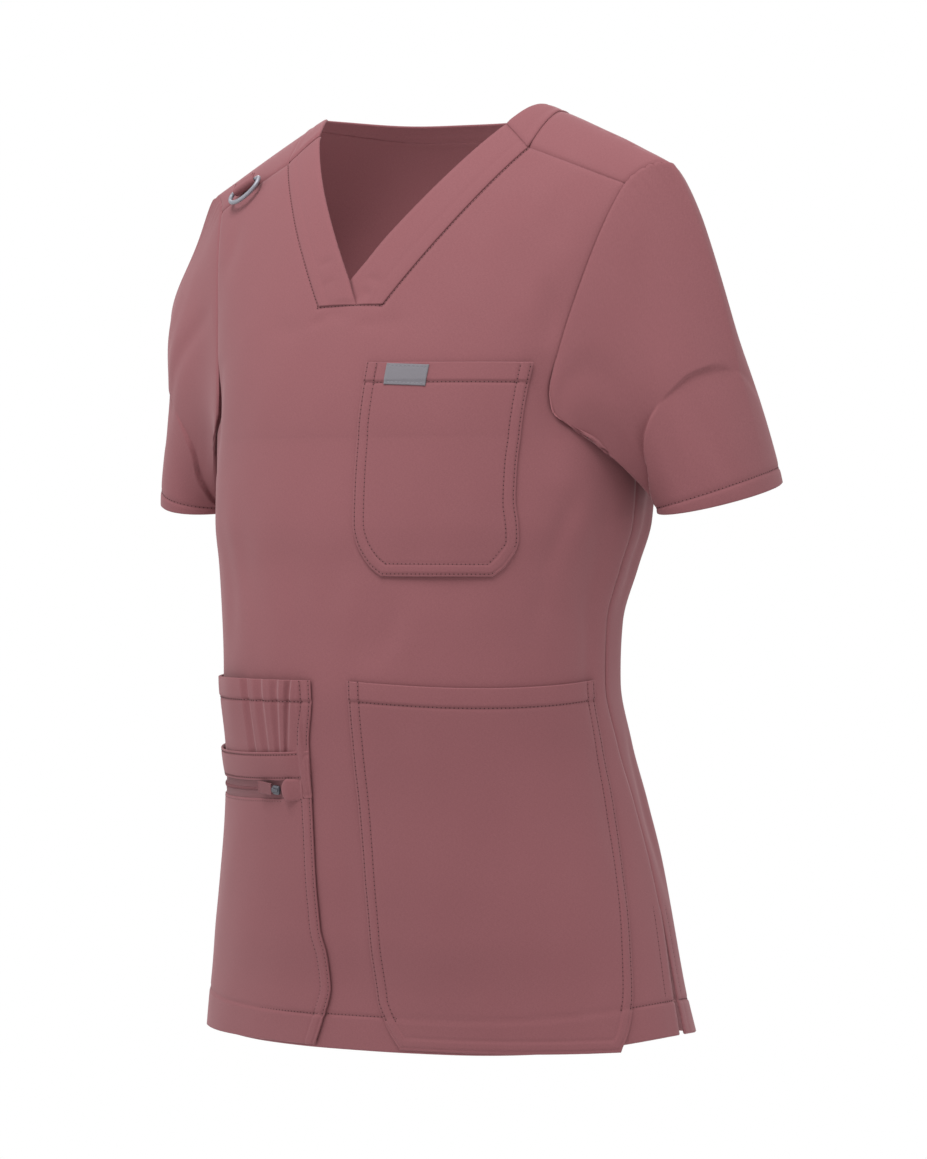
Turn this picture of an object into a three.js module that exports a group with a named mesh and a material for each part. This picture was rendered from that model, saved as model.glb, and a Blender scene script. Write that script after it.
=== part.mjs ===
// A women's scrub top with a V neck, short set-in sleeves, three patch pockets and a zip pocket.
// Millimetres. +Z is up, the front faces -Y and the wearer's left is +X.
// The origin lies between the two neck points, where the shoulders of a wearer carry the top.
import * as THREE from 'three';

// Cloth
const cloth = 1.2; // one layer of the woven stretch twill
const hemCloth = 1.8; // hems and neckbands, where the cloth is folded on itself
const seamGap = 0.3; // air between two pieces that are sewn edge to edge
const sleeveSeamGap = 0.4;
const layerGap = 0.6; // air between a pocket and the cloth that it lies on

// Body, seen as level sections from the hem up to the chest
const chestHeight = -232;
const hemHeight = -650;
const sideHemRise = 10; // the hem is this much higher at the side seams
const squareness = 2.12; // 2 is a true ellipse
const bodySections = [
  { height: -652, halfWidth: 187, front: 118, back: 124, shift: 30 },
  { height: -610, halfWidth: 179, front: 121, back: 114, shift: 28 },
  { height: -568, halfWidth: 171, front: 129, back: 112, shift: 27 },
  { height: -526, halfWidth: 162, front: 132, back: 114, shift: 24 },
  { height: -484, halfWidth: 153, front: 130, back: 115, shift: 17 },
  { height: -442, halfWidth: 146, front: 126, back: 114, shift: 6 },
  { height: -400, halfWidth: 144, front: 120, back: 113, shift: -5 },
  { height: -358, halfWidth: 146, front: 121, back: 110, shift: -4 },
  { height: -320, halfWidth: 153, front: 128, back: 111, shift: 5 },
  { height: -288, halfWidth: 160, front: 134, back: 113, shift: 12 },
  { height: -232, halfWidth: 163, front: 131, back: 112, shift: 16 },
];

// Shoulders
const ridgeY = 10; // the shoulder ridge lies this far behind the origin
const ridgeTop = 22; // height of the ridge line carried on to the middle of the neck
const ridgeSlope = 0.48;
const ridgeRound = 60;
const rightShoulderDrop = 12; // the wearer's right shoulder hangs lower
const shoulderTipX = 190;
const shoulderHalfWidth = 205;
const frontRoundness = 1.5; // power of the curve from chest to ridge
const backRoundness = 2.2;
const forwardSeam = 0.72; // the shoulder seam lies forward of the ridge, at 1

// Side seams and vents
const sideSeamBack = 5; // degrees that the side seam moves behind the side, towards the hem
const sideSeamEase = 0.55; // share of the way from chest to hem over which it moves
const sideSeamAir = 0.06; // degrees between a panel's edge and the side seam
const ventTop = -0.775;
const frontVentTurn = 3.4;
const backVentTurn = 1.2;

// Armhole, from the underarm forward, over the ridge at 1 and down the back to the underarm at 2
const armhole = [
  { over: 0, turn: 90 },
  { over: 0.03, turn: 69 },
  { over: 0.1, turn: 56.8 },
  { over: 0.18, turn: 54.8 },
  { over: 0.3, turn: 55.6 },
  { over: 0.45, turn: 56.6 },
  { over: 0.72, turn: 57.6 },
  { over: 0.86, turn: 61.5 },
  { over: 1, turn: 67 },
  { over: 1.15, turn: 68 },
  { over: 1.4, turn: 66.5 },
  { over: 1.6, turn: 65.5 },
  { over: 1.8, turn: 68 },
  { over: 1.91, turn: 74 },
  { over: 1.97, turn: 82 },
  { over: 2, turn: 90 },
];

// Large soft folds of the body: a trough along a line from one height to another
const bodyFolds = [
  { side: 'front', turn: 50, lean: 10, width: 5, from: -172, to: -262, depth: 3.2 },
  { side: 'front', turn: -50, lean: -10, width: 5, from: -172, to: -262, depth: 3 },
  { side: 'front', turn: 76, lean: 6, width: 6, from: -238, to: -372, depth: 3 },
  { side: 'front', turn: -75, lean: -7, width: 6, from: -238, to: -382, depth: 3 },
  { side: 'front', turn: 12, lean: -3, width: 5, from: -330, to: -396, depth: 1.4 },
  { side: 'back', turn: 74, lean: 5, width: 6, from: -225, to: -372, depth: 3.2 },
  { side: 'back', turn: -72, lean: -6, width: 6, from: -225, to: -365, depth: 3.2 },
  { side: 'back', turn: 30, lean: -14, width: 7, from: -300, to: -440, depth: 3 },
  { side: 'back', turn: -34, lean: 16, width: 7, from: -290, to: -430, depth: 3 },
  { side: 'back', turn: 8, lean: 5, width: 6, from: -330, to: -470, depth: 2.4 },
  { side: 'back', turn: 52, lean: 4, width: 7, from: -470, to: -640, depth: 3 },
  { side: 'back', turn: -48, lean: -5, width: 7, from: -480, to: -645, depth: 3 },
];

// Neck
const neckBottomHeight = -141; // squared bottom of the front bands
const neckBottomHalf = 26;
const neckPointHeight = -118; // where the two inner edges of the bands meet
const neckSeamTop = { x: 99, z: -33 }; // where the outer seam of the front band meets the shoulder seam
const neckEdgeTop = { x: 78, z: -16 };
const neckPointPart = 0.14; // share of the band's length in which its inner edge goes up the middle
const neckSeamHalf = 103; // half width of the back neck seam at the ridge
const neckEdgeHalf = 91;
const neckSeamDepth = 70; // how far the back neck seam lies behind the ridge
const neckEdgeDepth = 61;
const neckCornerAngle = 20; // degrees round the back neck where the shoulder strips begin

// Sleeves
const armholeCentre = { x: 160, y: 8, leftHeight: -138, rightHeight: -143, halfDepth: 66, halfHeight: 93 };
const cuff = { x: 209, y: 47, height: -272, halfDepth: 56, halfWidth: 38, tilt: 7, lean: 11 };
const leaveTop = { out: 66, back: 10, down: 66 }; // how the sleeve sets off from the shoulder
const leaveUnderarm = { out: 20, back: 10, down: 12 };
const arriveTop = 190; // how straight the sleeve comes to its cuff
const arriveUnderarm = 34;
const elbowFold = { out: 17, at: 0.47, reach: 0.17 }; // a full fold on the outside of the right sleeve
const gatherCount = 6; // small puckers in the sleeve cap
const gatherDepth = 0.9;
const gatherReach = 0.16;
const archFold = { depth: 5, width: 0.07, angle: 28, halfAngle: 62, top: 0.52, leg: 0.5 }; // front of the sleeve

// Pockets, each outline as rows from the bottom up
const chestPocket = [
  { height: -325.5, inner: 14.5, outer: 45 },
  { height: -318, inner: 11, outer: 48.3 },
  { height: -304, inner: 7.6, outer: 50.4 },
  { height: -292, inner: 6.4, outer: 49.6 },
  { height: -272, inner: 6, outer: 47.9 },
  { height: -250, inner: 5.8, outer: 47.6 },
  { height: -228, inner: 5.8, outer: 48 },
  { height: -205, inner: 6.1, outer: 48.4 },
  { height: -182, inner: 6.6, outer: 48.8 },
];
const hipPocket = [
  { height: -648, inner: 10, outer: 65.5 },
  { height: -634, inner: 7.6, outer: 69.5 },
  { height: -613, inner: 5.6, outer: 73.2 },
  { height: -590, inner: 5.5, outer: 75.3 },
  { height: -562, inner: 5.8, outer: 77.6 },
  { height: -532, inner: 6, outer: 80 },
  { height: -502, inner: 6.1, outer: 82.3 },
  { height: -472, inner: 6.2, outer: 84.2 },
  { height: -442, inner: 6.2, outer: 85.8 },
  { height: -418, inner: 6.2, outer: 86.6 },
  { height: -397, inner: 6.2, outer: 87 },
];
const rightPocketEdge = [
  { height: -650, inner: 9.6 },
  { height: -630, inner: 7 },
  { height: -606, inner: 4.7 },
  { height: -586, inner: 4.8 },
  { height: -567, inner: 5.9 },
  { height: -508, inner: 6.3 },
  { height: -441, inner: 5.8 },
  { height: -408, inner: 4 },
  { height: -396, inner: 4.2 },
];
const chestPocketBulge = 1.5;
const hipPocketBulge = 3.5;
const penPocketBottom = -524;
const penPocketTop = -397;
const penGathers = [
  { turn: -32.5, depth: 2.2 },
  { turn: -27.5, depth: 2.6 },
  { turn: -22, depth: 2.4 },
  { turn: -16.5, depth: 2.8 },
  { turn: -12, depth: 2 },
];
const gatherTurnWidth = 1.5;
const penStandOff = 4.5; // how far the cloth stands off between its gathers
const penFullness = 2.8; // depth of a gather that draws the cloth right down
const penZone = { from: -36, to: -8, blend: 3 }; // degrees that hold the gathers
const penGatherFan = 0.12; // the gathers spread upwards from the zip band
const penFade = { from: 1.1, rate: 1.2 }; // the cloth comes back to the panel just above the zip band
const zipBandTop = -444;
const zipBandBottom = -463;
const zipSlotBottom = -476.5;
const zipSag = 4; // the zip and its band dip in the middle
const zipTurnSpan = 86;
const zipPocketFoot = -648;
const zipPocketBulge = 1;
const zipLift = 2.3; // the zip pocket lies over the pen pocket

// Woven label on the chest pocket, with nothing on it
const labelSize = { length: 30, width: 14, tilt: -2.5 };
const labelCloth = 0.7;
const labelGap = 0.4;
const labelPlace = { turn: 17, height: -190 };

// Slider, pull and garage of the zip
const sliderTurn = -17.4;
const sliderSize = { length: 7, width: 6.5, depth: 2.4, corner: 2 };
const pullSize = { length: 14, width: 8, depth: 1.2, corner: 1.5, noseGap: 0.45, lift: 0.6 };
const garageSize = { length: 17, width: 15, tilt: 0, roundEnd: 0.86 };
const garageTurn = -12.6;
const garageSewnTurn = -9.2; // the tab is sewn down from here to the pocket's edge
const garageRise = 4;

// Ring on the right shoulder seam, held by a loop of cloth
const ringTurn = -43;
const ringOver = 0.75; // the loop straddles the shoulder seam
const ringWidth = 34;
const ringDrop = 15;
const ringWire = 3;
const ringCorner = 5;
const ringSide = 1; // straight sides between the corners and the bow
const loopWidth = 22;
const loopPlay = 0.5; // air round the wire inside its loop
const loopReach = 5.8; // from the loop's sewn end to the wire
const loopSeam = 1.2;

// Mesh density
const frontMiddleColumns = 2; // on each side of the middle, up to the neck's squared bottom
const shoulderColumns = 9;
const hemRows = 14;
const frontRows = 7;
const frontStripRows = 6;
const backRows = 9;
const backStripRows = 4;
const neckColumns = 7;
const sleeveLevels = [0, 0.05, 0.12, 0.21, 0.31, 0.4, 0.48, 0.56, 0.64, 0.72, 0.8, 0.87, 0.942, 1];
const capSplit = 4;
const penColumns = 34;
const penColumnSpread = 1.35; // the columns lie closer together where the gathers are
const chestPocketColumns = 8;
const hipPocketColumns = 14;
const pocketRows = 8;
const zipBandRows = 2;
const labelColumns = 6;
const labelRows = 4;
const bandColumns = { front: 3, back: 2 };
const ringCornerSteps = 3;
const ringBowSteps = 14;
const ringSides = 8;
const loopSteps = 8;
const cuffHemStart = 0.93;
const bodyHemLine = -0.944; // level of the hem's stitching

// Small steps from which slopes are taken
const turnStep = 0.2;
const overStep = 0.002;
const seamStepOver = 0.004;
const sleeveStep = 0.02;
const leastMitre = 0.6; // keeps the mitred edge of a wall from growing long

const radians = THREE.MathUtils.degToRad;
const lerp = THREE.MathUtils.lerp;
const clamp = THREE.MathUtils.clamp;

function ease(t) {
  const s = clamp(t, 0, 1);
  return s * s * (3 - 2 * s);
}

function signedPower(value, power) {
  return Math.sign(value) * Math.abs(value) ** power;
}

// Reads a table at any place between its rows, smoothly and without overshoot
function readTable(rows, key, at, column) {
  const ordered = rows[0][key] < rows[rows.length - 1][key] ? rows : [...rows].reverse();
  const x = clamp(at, ordered[0][key], ordered[ordered.length - 1][key]);
  let i = 0;
  while (i < ordered.length - 2 && x > ordered[i + 1][key]) i += 1;
  const rate = (k) => (ordered[k + 1][column] - ordered[k][column]) / (ordered[k + 1][key] - ordered[k][key]);
  const slope = (k) => {
    if (k === 0) return rate(0);
    if (k === ordered.length - 1) return rate(k - 1);
    const before = rate(k - 1);
    const after = rate(k);
    return before * after <= 0 ? 0 : (2 * before * after) / (before + after);
  };
  const span = ordered[i + 1][key] - ordered[i][key];
  const t = (x - ordered[i][key]) / span;
  const start = ordered[i][column];
  const end = ordered[i + 1][column];
  return (
    start * (2 * t ** 3 - 3 * t ** 2 + 1) +
    slope(i) * span * (t ** 3 - 2 * t ** 2 + t) +
    end * (3 * t ** 2 - 2 * t ** 3) +
    slope(i + 1) * span * (t ** 3 - t ** 2)
  );
}

function shoulderLine(x) {
  const drop = x < 0 ? rightShoulderDrop * (x / shoulderTipX) ** 2 : 0;
  return ridgeTop - ridgeSlope * (Math.hypot(x, ridgeRound) - ridgeRound) - drop;
}

function hemAt(turn) {
  return hemHeight + sideHemRise * Math.sin(radians(turn)) ** 4;
}

function halfWidthAbove(level) {
  const chest = readTable(bodySections, 'height', chestHeight, 'halfWidth');
  return lerp(chest, shoulderHalfWidth, ease(level));
}

// A place on the top is a turn, in degrees from the middle towards the wearer's left, and how far
// over the shoulders it lies: -1 front hem, 0 front chest, 1 shoulder ridge, 2 back chest, 3 back hem.
function plainPoint(turn, over) {
  const onFront = over <= 1;
  const level = onFront ? over : 2 - over;
  const across = signedPower(Math.sin(radians(turn)), 2 / squareness);
  const ahead = signedPower(Math.cos(radians(turn)), 2 / squareness) * (onFront ? 1 : -1);
  const height = level <= 0 ? chestHeight + level * (chestHeight - hemAt(turn)) : chestHeight;
  const depth = readTable(bodySections, 'height', height, ahead > 0 ? 'front' : 'back');
  const baseY = readTable(bodySections, 'height', height, 'shift') - depth * ahead;
  if (level <= 0) {
    return new THREE.Vector3(readTable(bodySections, 'height', height, 'halfWidth') * across, baseY, height);
  }
  const x = halfWidthAbove(level) * across;
  const power = 2 / (onFront ? frontRoundness : backRoundness);
  const rise = Math.sin((level * Math.PI) / 2) ** power;
  const fall = Math.cos((level * Math.PI) / 2) ** power;
  const z = chestHeight + (shoulderLine(x) - chestHeight) * rise;
  return new THREE.Vector3(x, ridgeY + (baseY - ridgeY) * fall, z);
}

// Outward direction of a surface at a place, from four points close to it
function outward(surface, turn, over) {
  const acrossStep = surface(turn + turnStep, over).sub(surface(turn - turnStep, over));
  const alongStep = surface(turn, over + overStep).sub(surface(turn, over - overStep));
  return acrossStep.cross(alongStep).normalize();
}

function foldDepth(turn, over, height) {
  const side = over <= 1 ? 'front' : 'back';
  let depth = 0;
  for (const fold of bodyFolds) {
    const along = (fold.from - height) / (fold.from - fold.to);
    if (fold.side !== side || along <= 0 || along >= 1) continue;
    const offLine = (turn - fold.turn - fold.lean * along) / fold.width;
    depth += fold.depth * Math.sin(Math.PI * along) * Math.exp(-offLine * offLine);
  }
  return depth;
}

// A point of the top's outer face, moved out by lift
function bodyPoint(turn, over, lift = 0) {
  const point = plainPoint(turn, over);
  const rise = lift - foldDepth(turn, over, point.z);
  return rise === 0 ? point : point.addScaledVector(outward(plainPoint, turn, over), rise);
}

function bodySpot(turn, over, lift = 0, wall = cloth) {
  const point = bodyPoint(turn, over, lift);
  return { point, normal: outward(bodyPoint, turn, over), wall };
}

// The level of a front place, given its turn and height
function levelAt(turn, height) {
  if (height <= chestHeight) return (height - chestHeight) / (chestHeight - hemAt(turn));
  let level = 0.2;
  for (let pass = 0; pass < 8; pass += 1) {
    const x = halfWidthAbove(level) * signedPower(Math.sin(radians(turn)), 2 / squareness);
    const rise = (height - chestHeight) / (shoulderLine(x) - chestHeight);
    level = (2 / Math.PI) * Math.asin(clamp(rise, 0, 1) ** (frontRoundness / 2));
  }
  return level;
}

// The front place that is seen at x and z from straight ahead
function frontPlace(x, z) {
  const rise = (z - chestHeight) / (shoulderLine(x) - chestHeight);
  const over = (2 / Math.PI) * Math.asin(clamp(rise, 0, 1) ** (frontRoundness / 2));
  const across = Math.abs(x) / halfWidthAbove(over);
  return { turn: Math.sign(x) * THREE.MathUtils.radToDeg(Math.asin(across ** (squareness / 2))), over };
}

// The back place that is seen at x and y from straight above, near the shoulders
function backPlace(x, y) {
  const chest = bodySections[bodySections.length - 1];
  let level = 0.9;
  let turn = 0;
  for (let pass = 0; pass < 24; pass += 1) {
    const across = Math.min(Math.abs(x) / halfWidthAbove(level), 1);
    turn = Math.sign(x) * THREE.MathUtils.radToDeg(Math.asin(across ** (squareness / 2)));
    const baseY = chest.shift + chest.back * Math.cos(radians(turn)) ** (2 / squareness);
    const fall = clamp((y - ridgeY) / (baseY - ridgeY), 0, 1);
    level = (2 / Math.PI) * Math.acos(fall ** (backRoundness / 2));
  }
  return { turn, over: 2 - level };
}

// Builds a closed cloth wall from a grid of spots. A missing spot leaves its cells open.
function clothWall(name, rows, material, closedRound = false) {
  const columns = rows[0].length;
  const positions = [];
  const ids = new Map();
  const use = (row, column) => {
    const key = row * columns + (column % columns);
    if (!ids.has(key)) {
      const { point, normal, wall } = rows[row][column % columns];
      const inner = point.clone().addScaledVector(normal, -wall);
      ids.set(key, positions.length / 3);
      positions.push(point.x, point.y, point.z, inner.x, inner.y, inner.z);
    }
    return ids.get(key);
  };
  const lastColumn = closedRound ? columns : columns - 1;
  const isCell = (row, column) => {
    if (row < 0 || row >= rows.length - 1) return false;
    if (!closedRound && (column < 0 || column >= lastColumn)) return false;
    const c = (column + columns) % columns;
    const d = (c + 1) % columns;
    return Boolean(rows[row][c] && rows[row][d] && rows[row + 1][c] && rows[row + 1][d]);
  };
  const triangles = [];
  const quad = (a, b, c, d) => triangles.push(a, b, c, a, c, d);
  for (let row = 0; row < rows.length - 1; row += 1) {
    for (let column = 0; column < lastColumn; column += 1) {
      if (!isCell(row, column)) continue;
      const a = use(row, column);
      const b = use(row, column + 1);
      const c = use(row + 1, column + 1);
      const d = use(row + 1, column);
      quad(a, b, c, d);
      quad(a + 1, d + 1, c + 1, b + 1);
      if (!isCell(row - 1, column)) quad(b, a, a + 1, b + 1);
      if (!isCell(row + 1, column)) quad(d, c, c + 1, d + 1);
      if (!isCell(row, column - 1)) quad(a, d, d + 1, a + 1);
      if (!isCell(row, column + 1)) quad(c, b, b + 1, c + 1);
    }
  }
  return solidMesh(name, positions, triangles, material);
}

function signedVolume(positions, triangles) {
  const corner = (i) => new THREE.Vector3(positions[3 * i], positions[3 * i + 1], positions[3 * i + 2]);
  let volume = 0;
  for (let i = 0; i < triangles.length; i += 3) {
    volume += corner(triangles[i]).dot(corner(triangles[i + 1]).cross(corner(triangles[i + 2]))) / 6;
  }
  return volume;
}

// Turns the faces outwards where the grid runs the other way round
function solidMesh(name, positions, triangles, material) {
  const geometry = new THREE.BufferGeometry();
  geometry.setAttribute('position', new THREE.Float32BufferAttribute(positions, 3));
  const outwards = signedVolume(positions, triangles) > 0;
  geometry.setIndex(outwards ? triangles : [...triangles].reverse());
  geometry.computeVertexNormals();
  const mesh = new THREE.Mesh(geometry, material);
  mesh.name = name;
  return mesh;
}

const twill = new THREE.MeshStandardMaterial({ color: 0x9c6469, roughness: 0.85, metalness: 0 });
const pocketTwill = new THREE.MeshStandardMaterial({ color: 0x96606a, roughness: 0.85, metalness: 0 });
const bandTwill = new THREE.MeshStandardMaterial({ color: 0x99616a, roughness: 0.85, metalness: 0 });
const zipTape = new THREE.MeshStandardMaterial({ color: 0x84505a, roughness: 0.8, metalness: 0 });
const greyWeave = new THREE.MeshStandardMaterial({ color: 0x8c8890, roughness: 0.7, metalness: 0 });
const greyMetal = new THREE.MeshStandardMaterial({ color: 0x8f909a, roughness: 0.4, metalness: 0.8 });

const armholeTurn = (over) => readTable(armhole, 'over', over, 'turn');

// Places that divide a stretch of the armhole into equal lengths
function armholeStations(from, to, parts) {
  const fine = 400;
  const points = [];
  for (let i = 0; i <= fine; i += 1) {
    const over = lerp(from, to, i / fine);
    points.push({ over, point: plainPoint(armholeTurn(over), over) });
  }
  const lengths = [0];
  for (let i = 1; i <= fine; i += 1) {
    lengths.push(lengths[i - 1] + points[i].point.distanceTo(points[i - 1].point));
  }
  const stations = [];
  for (let k = 0; k <= parts; k += 1) {
    const target = (lengths[fine] * k) / parts;
    const i = Math.max(1, lengths.findIndex((length) => length >= target - 1e-9));
    const t = (target - lengths[i - 1]) / (lengths[i] - lengths[i - 1]);
    stations.push(lerp(points[i - 1].over, points[i].over, t));
  }
  return stations;
}

const neckBottomPlace = frontPlace(neckBottomHalf, neckBottomHeight);
const neckCorner = backPlace(
  neckSeamHalf * Math.cos(radians(neckCornerAngle)),
  ridgeY + neckSeamDepth * Math.sin(radians(neckCornerAngle)),
);
const frontStations = armholeStations(0, neckBottomPlace.over, frontRows);
const frontStripStations = armholeStations(neckBottomPlace.over, forwardSeam, frontStripRows);
const backStripStations = armholeStations(forwardSeam, neckCorner.over, backStripRows);
const backStations = armholeStations(neckCorner.over, 2, backRows);
const armholeRound = [
  ...frontStations,
  ...frontStripStations.slice(1),
  ...backStripStations.slice(1),
  ...backStations.slice(1, -1),
];

// Place round the sleeve of one place of the armhole: 0 at the back, a quarter turn up at the shoulder
function sleeveAngle(side, over) {
  const seam = plainPoint(side * armholeTurn(over), over);
  const height = side > 0 ? armholeCentre.leftHeight : armholeCentre.rightHeight;
  const angle = Math.atan2(
    (seam.z - height) / armholeCentre.halfHeight,
    (seam.y - armholeCentre.y) / armholeCentre.halfDepth,
  );
  return angle < -Math.PI / 2 ? angle + 2 * Math.PI : angle;
}

// Depth of the arch-shaped fold, whose legs stand on the cuff side and whose top reaches up the sleeve
function archDepth(angle, t) {
  const fromFront = THREE.MathUtils.radToDeg(Math.PI - angle);
  const offTop = (fromFront - archFold.angle) / archFold.halfAngle;
  if (Math.abs(offTop) > 1) return 0;
  const line = archFold.top + archFold.leg * (1 - Math.sqrt(1 - offTop * offTop));
  const off = (t - line) / archFold.width;
  return archFold.depth * Math.exp(-off * off) * (1 - offTop * offTop);
}

// The point of the sleeve's outer face that starts at one place of the armhole
function sleevePoint(side, over, t) {
  const seam = plainPoint(side * armholeTurn(over), over);
  const angle = sleeveAngle(side, over);
  const upness = (1 + Math.sin(angle)) / 2;
  const lean = radians(cuff.lean);
  const tilt = radians(cuff.tilt);
  const deep = new THREE.Vector3(0, Math.cos(lean), Math.sin(lean));
  const wide = new THREE.Vector3(side * Math.cos(tilt), 0, Math.sin(tilt));
  const end = new THREE.Vector3(side * cuff.x, cuff.y, cuff.height)
    .addScaledVector(deep, cuff.halfDepth * Math.cos(angle))
    .addScaledVector(wide, cuff.halfWidth * Math.sin(angle));
  const leave = new THREE.Vector3(
    side * lerp(leaveUnderarm.out, leaveTop.out, upness),
    lerp(leaveUnderarm.back, leaveTop.back, upness),
    -lerp(leaveUnderarm.down, leaveTop.down, upness),
  );
  const arrive = wide.clone().cross(deep).multiplyScalar(-side).normalize();
  arrive.multiplyScalar(lerp(arriveUnderarm, arriveTop, upness));
  const fullness = side > 0 ? 0 : elbowFold.out * Math.exp(-(((t - elbowFold.at) / elbowFold.reach) ** 2));
  return new THREE.Vector3(side * fullness * upness ** 2 * ease(t / elbowFold.reach), 0, 0)
    .addScaledVector(seam, 2 * t ** 3 - 3 * t ** 2 + 1)
    .addScaledVector(leave, t ** 3 - 2 * t ** 2 + t)
    .addScaledVector(end, 3 * t ** 2 - 2 * t ** 3)
    .addScaledVector(arrive, t ** 3 - t ** 2);
}

function sleeveNormal(side, over, t) {
  const before = over < seamStepOver ? over - seamStepOver + 2 : over - seamStepOver;
  const after = over + seamStepOver > 2 ? over + seamStepOver - 2 : over + seamStepOver;
  const round = sleevePoint(side, after, t).sub(sleevePoint(side, before, t));
  const near = Math.max(t - sleeveStep, 0);
  const down = sleevePoint(side, over, t + sleeveStep).sub(sleevePoint(side, over, near));
  return round.cross(down).normalize().multiplyScalar(-side);
}

// Both walls at the armhole share one mitred edge direction, so that neither crosses the other
function armholeEdge(side, over) {
  const body = outward(plainPoint, side * armholeTurn(over), over);
  const sleeve = sleeveNormal(side, over, 0);
  const shared = body.clone().add(sleeve).normalize();
  return { shared, stretch: 1 / Math.max(shared.dot(body), leastMitre) };
}

// Direction across the armhole seam, within a wall that has the given outward direction
function acrossSeam(side, over, normal) {
  const from = Math.max(over - seamStepOver, 0);
  const to = Math.min(over + seamStepOver, 2);
  const along = plainPoint(side * armholeTurn(to), to).sub(plainPoint(side * armholeTurn(from), from));
  along.normalize();
  return { along, across: along.clone().cross(normal).normalize().multiplyScalar(side) };
}

// A panel's edge at the armhole, moved back from the sleeve and, at a panel's corner, along the seam
function armholeSpot(side, over, alongGap = 0) {
  const point = plainPoint(side * armholeTurn(over), over);
  const { shared, stretch } = armholeEdge(side, over);
  const body = outward(plainPoint, side * armholeTurn(over), over);
  const { along, across } = acrossSeam(side, over, body);
  point.addScaledVector(across, -sleeveSeamGap / 2).addScaledVector(along, alongGap);
  return { point, normal: shared, wall: cloth * stretch };
}

function makeSleeve(name, side) {
  const stations = [];
  armholeRound.forEach((over, i) => {
    const next = i + 1 < armholeRound.length ? armholeRound[i + 1] : 2;
    const inCap = over >= forwardSeam - 1e-6 && over < neckCorner.over - 1e-6;
    const parts = inCap ? capSplit : 1;
    for (let k = 0; k < parts; k += 1) {
      stations.push({ low: over, high: next, part: k / parts, inCap });
    }
  });
  const rows = sleeveLevels.map((t) =>
    stations.map(({ low, high, part, inCap }) => {
      const over = lerp(low, high, part);
      const normal = sleeveNormal(side, over, t);
      if (t === 0) {
        const { shared, stretch } = armholeEdge(side, over);
        const { across } = acrossSeam(side, over, normal);
        const point = sleevePoint(side, low, t).lerp(sleevePoint(side, high % 2, t), part);
        point.addScaledVector(across, sleeveSeamGap / 2);
        return { point, normal: shared, wall: cloth * stretch };
      }
      const point = sleevePoint(side, over, t);
      point.addScaledVector(normal, -archDepth(sleeveAngle(side, over), t));
      if (inCap) {
        const alongCap = (over - forwardSeam) / (neckCorner.over - forwardSeam);
        const wave = Math.cos(2 * Math.PI * gatherCount * alongCap);
        point.addScaledVector(normal, gatherDepth * wave * Math.exp(-((t / gatherReach) ** 2)));
      }
      return { point, normal, wall: t > cuffHemStart ? hemCloth : cloth };
    }),
  );
  return clothWall(name, rows, twill, true);
}

// Turn of the side edge of a panel at one level below the chest
function sideTurn(level, isFront) {
  const back = sideSeamBack * ease(-level / sideSeamEase);
  const open = clamp((ventTop - level) / (1 + ventTop), 0, 1);
  if (isFront) return 90 + back - frontVentTurn * open - sideSeamAir;
  return 90 - back - backVentTurn * open - sideSeamAir;
}

const bottomLevels = (() => {
  const levels = [-1, bodyHemLine];
  for (let i = 1; i <= hemRows - 2; i += 1) levels.push(lerp(bodyHemLine, 0, i / (hemRows - 2)));
  return levels;
})();

// Columns of a panel at one row: the middle ones between the neck corners, the others out to the edge
function spreadColumns(inner, outer, middle) {
  const half = [];
  for (let k = 1; k <= middle; k += 1) half.push((inner * k) / middle);
  for (let k = 1; k <= shoulderColumns; k += 1) half.push(lerp(inner, outer, k / shoulderColumns));
  return half;
}

function mirroredRow(half, middleSpot, build) {
  const right = half.map((value, index) => build(-1, value, index)).reverse();
  const left = half.map((value, index) => build(1, value, index));
  return [...right, middleSpot, ...left];
}

function makeFront() {
  const middle = frontMiddleColumns;
  const innerTurn = neckBottomPlace.turn;
  const rows = [];
  for (const level of bottomLevels.slice(0, -1)) {
    const wall = level <= bodyHemLine ? hemCloth : cloth;
    const half = spreadColumns(innerTurn, sideTurn(level, true), middle);
    const build = (side, turn) => bodySpot(side * turn, level, 0, wall);
    rows.push(mirroredRow(half, bodySpot(0, level, 0, wall), build));
  }
  frontStations.forEach((over, index) => {
    const half = spreadColumns(innerTurn, armholeTurn(over), middle);
    const inside = lerp(0, neckBottomPlace.over, index / frontRows);
    const last = half.length - 1;
    const build = (side, turn, column) => {
      const along = clamp((column - middle + 1) / shoulderColumns, 0, 1);
      const level = lerp(inside, over, along * along);
      if (column < last) return bodySpot(side * turn, level);
      return armholeSpot(side, over, index === 0 ? seamGap / 2 : 0);
    };
    rows.push(mirroredRow(half, bodySpot(0, inside), build));
  });
  frontStripStations.slice(1).forEach((over, index) => {
    const part = (index + 1) / frontStripRows;
    const isTop = index === frontStripRows - 1;
    const row = new Array(middle + shoulderColumns).fill(0);
    const build = (side, ignored, column) => {
      if (column < middle - 1) return null;
      const seam = neckSeamPlace(side, part);
      const along = (column - middle + 1) / shoulderColumns;
      const turn = lerp(seam.turn, side * armholeTurn(over), along);
      const level = lerp(seam.over, over, along) - (isTop ? seamStep : 0);
      if (column === middle - 1) return neckSeamSpot(side, part, -1, isTop);
      if (column < row.length - 1) return bodySpot(turn, level);
      return armholeSpot(side, over, isTop ? -seamGap / 2 : 0);
    };
    rows.push(mirroredRow(row, null, build));
  });
  return clothWall('front_body', rows, twill);
}

const seamStep = 0.0015; // half a seam gap, as a step over the shoulder

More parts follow.
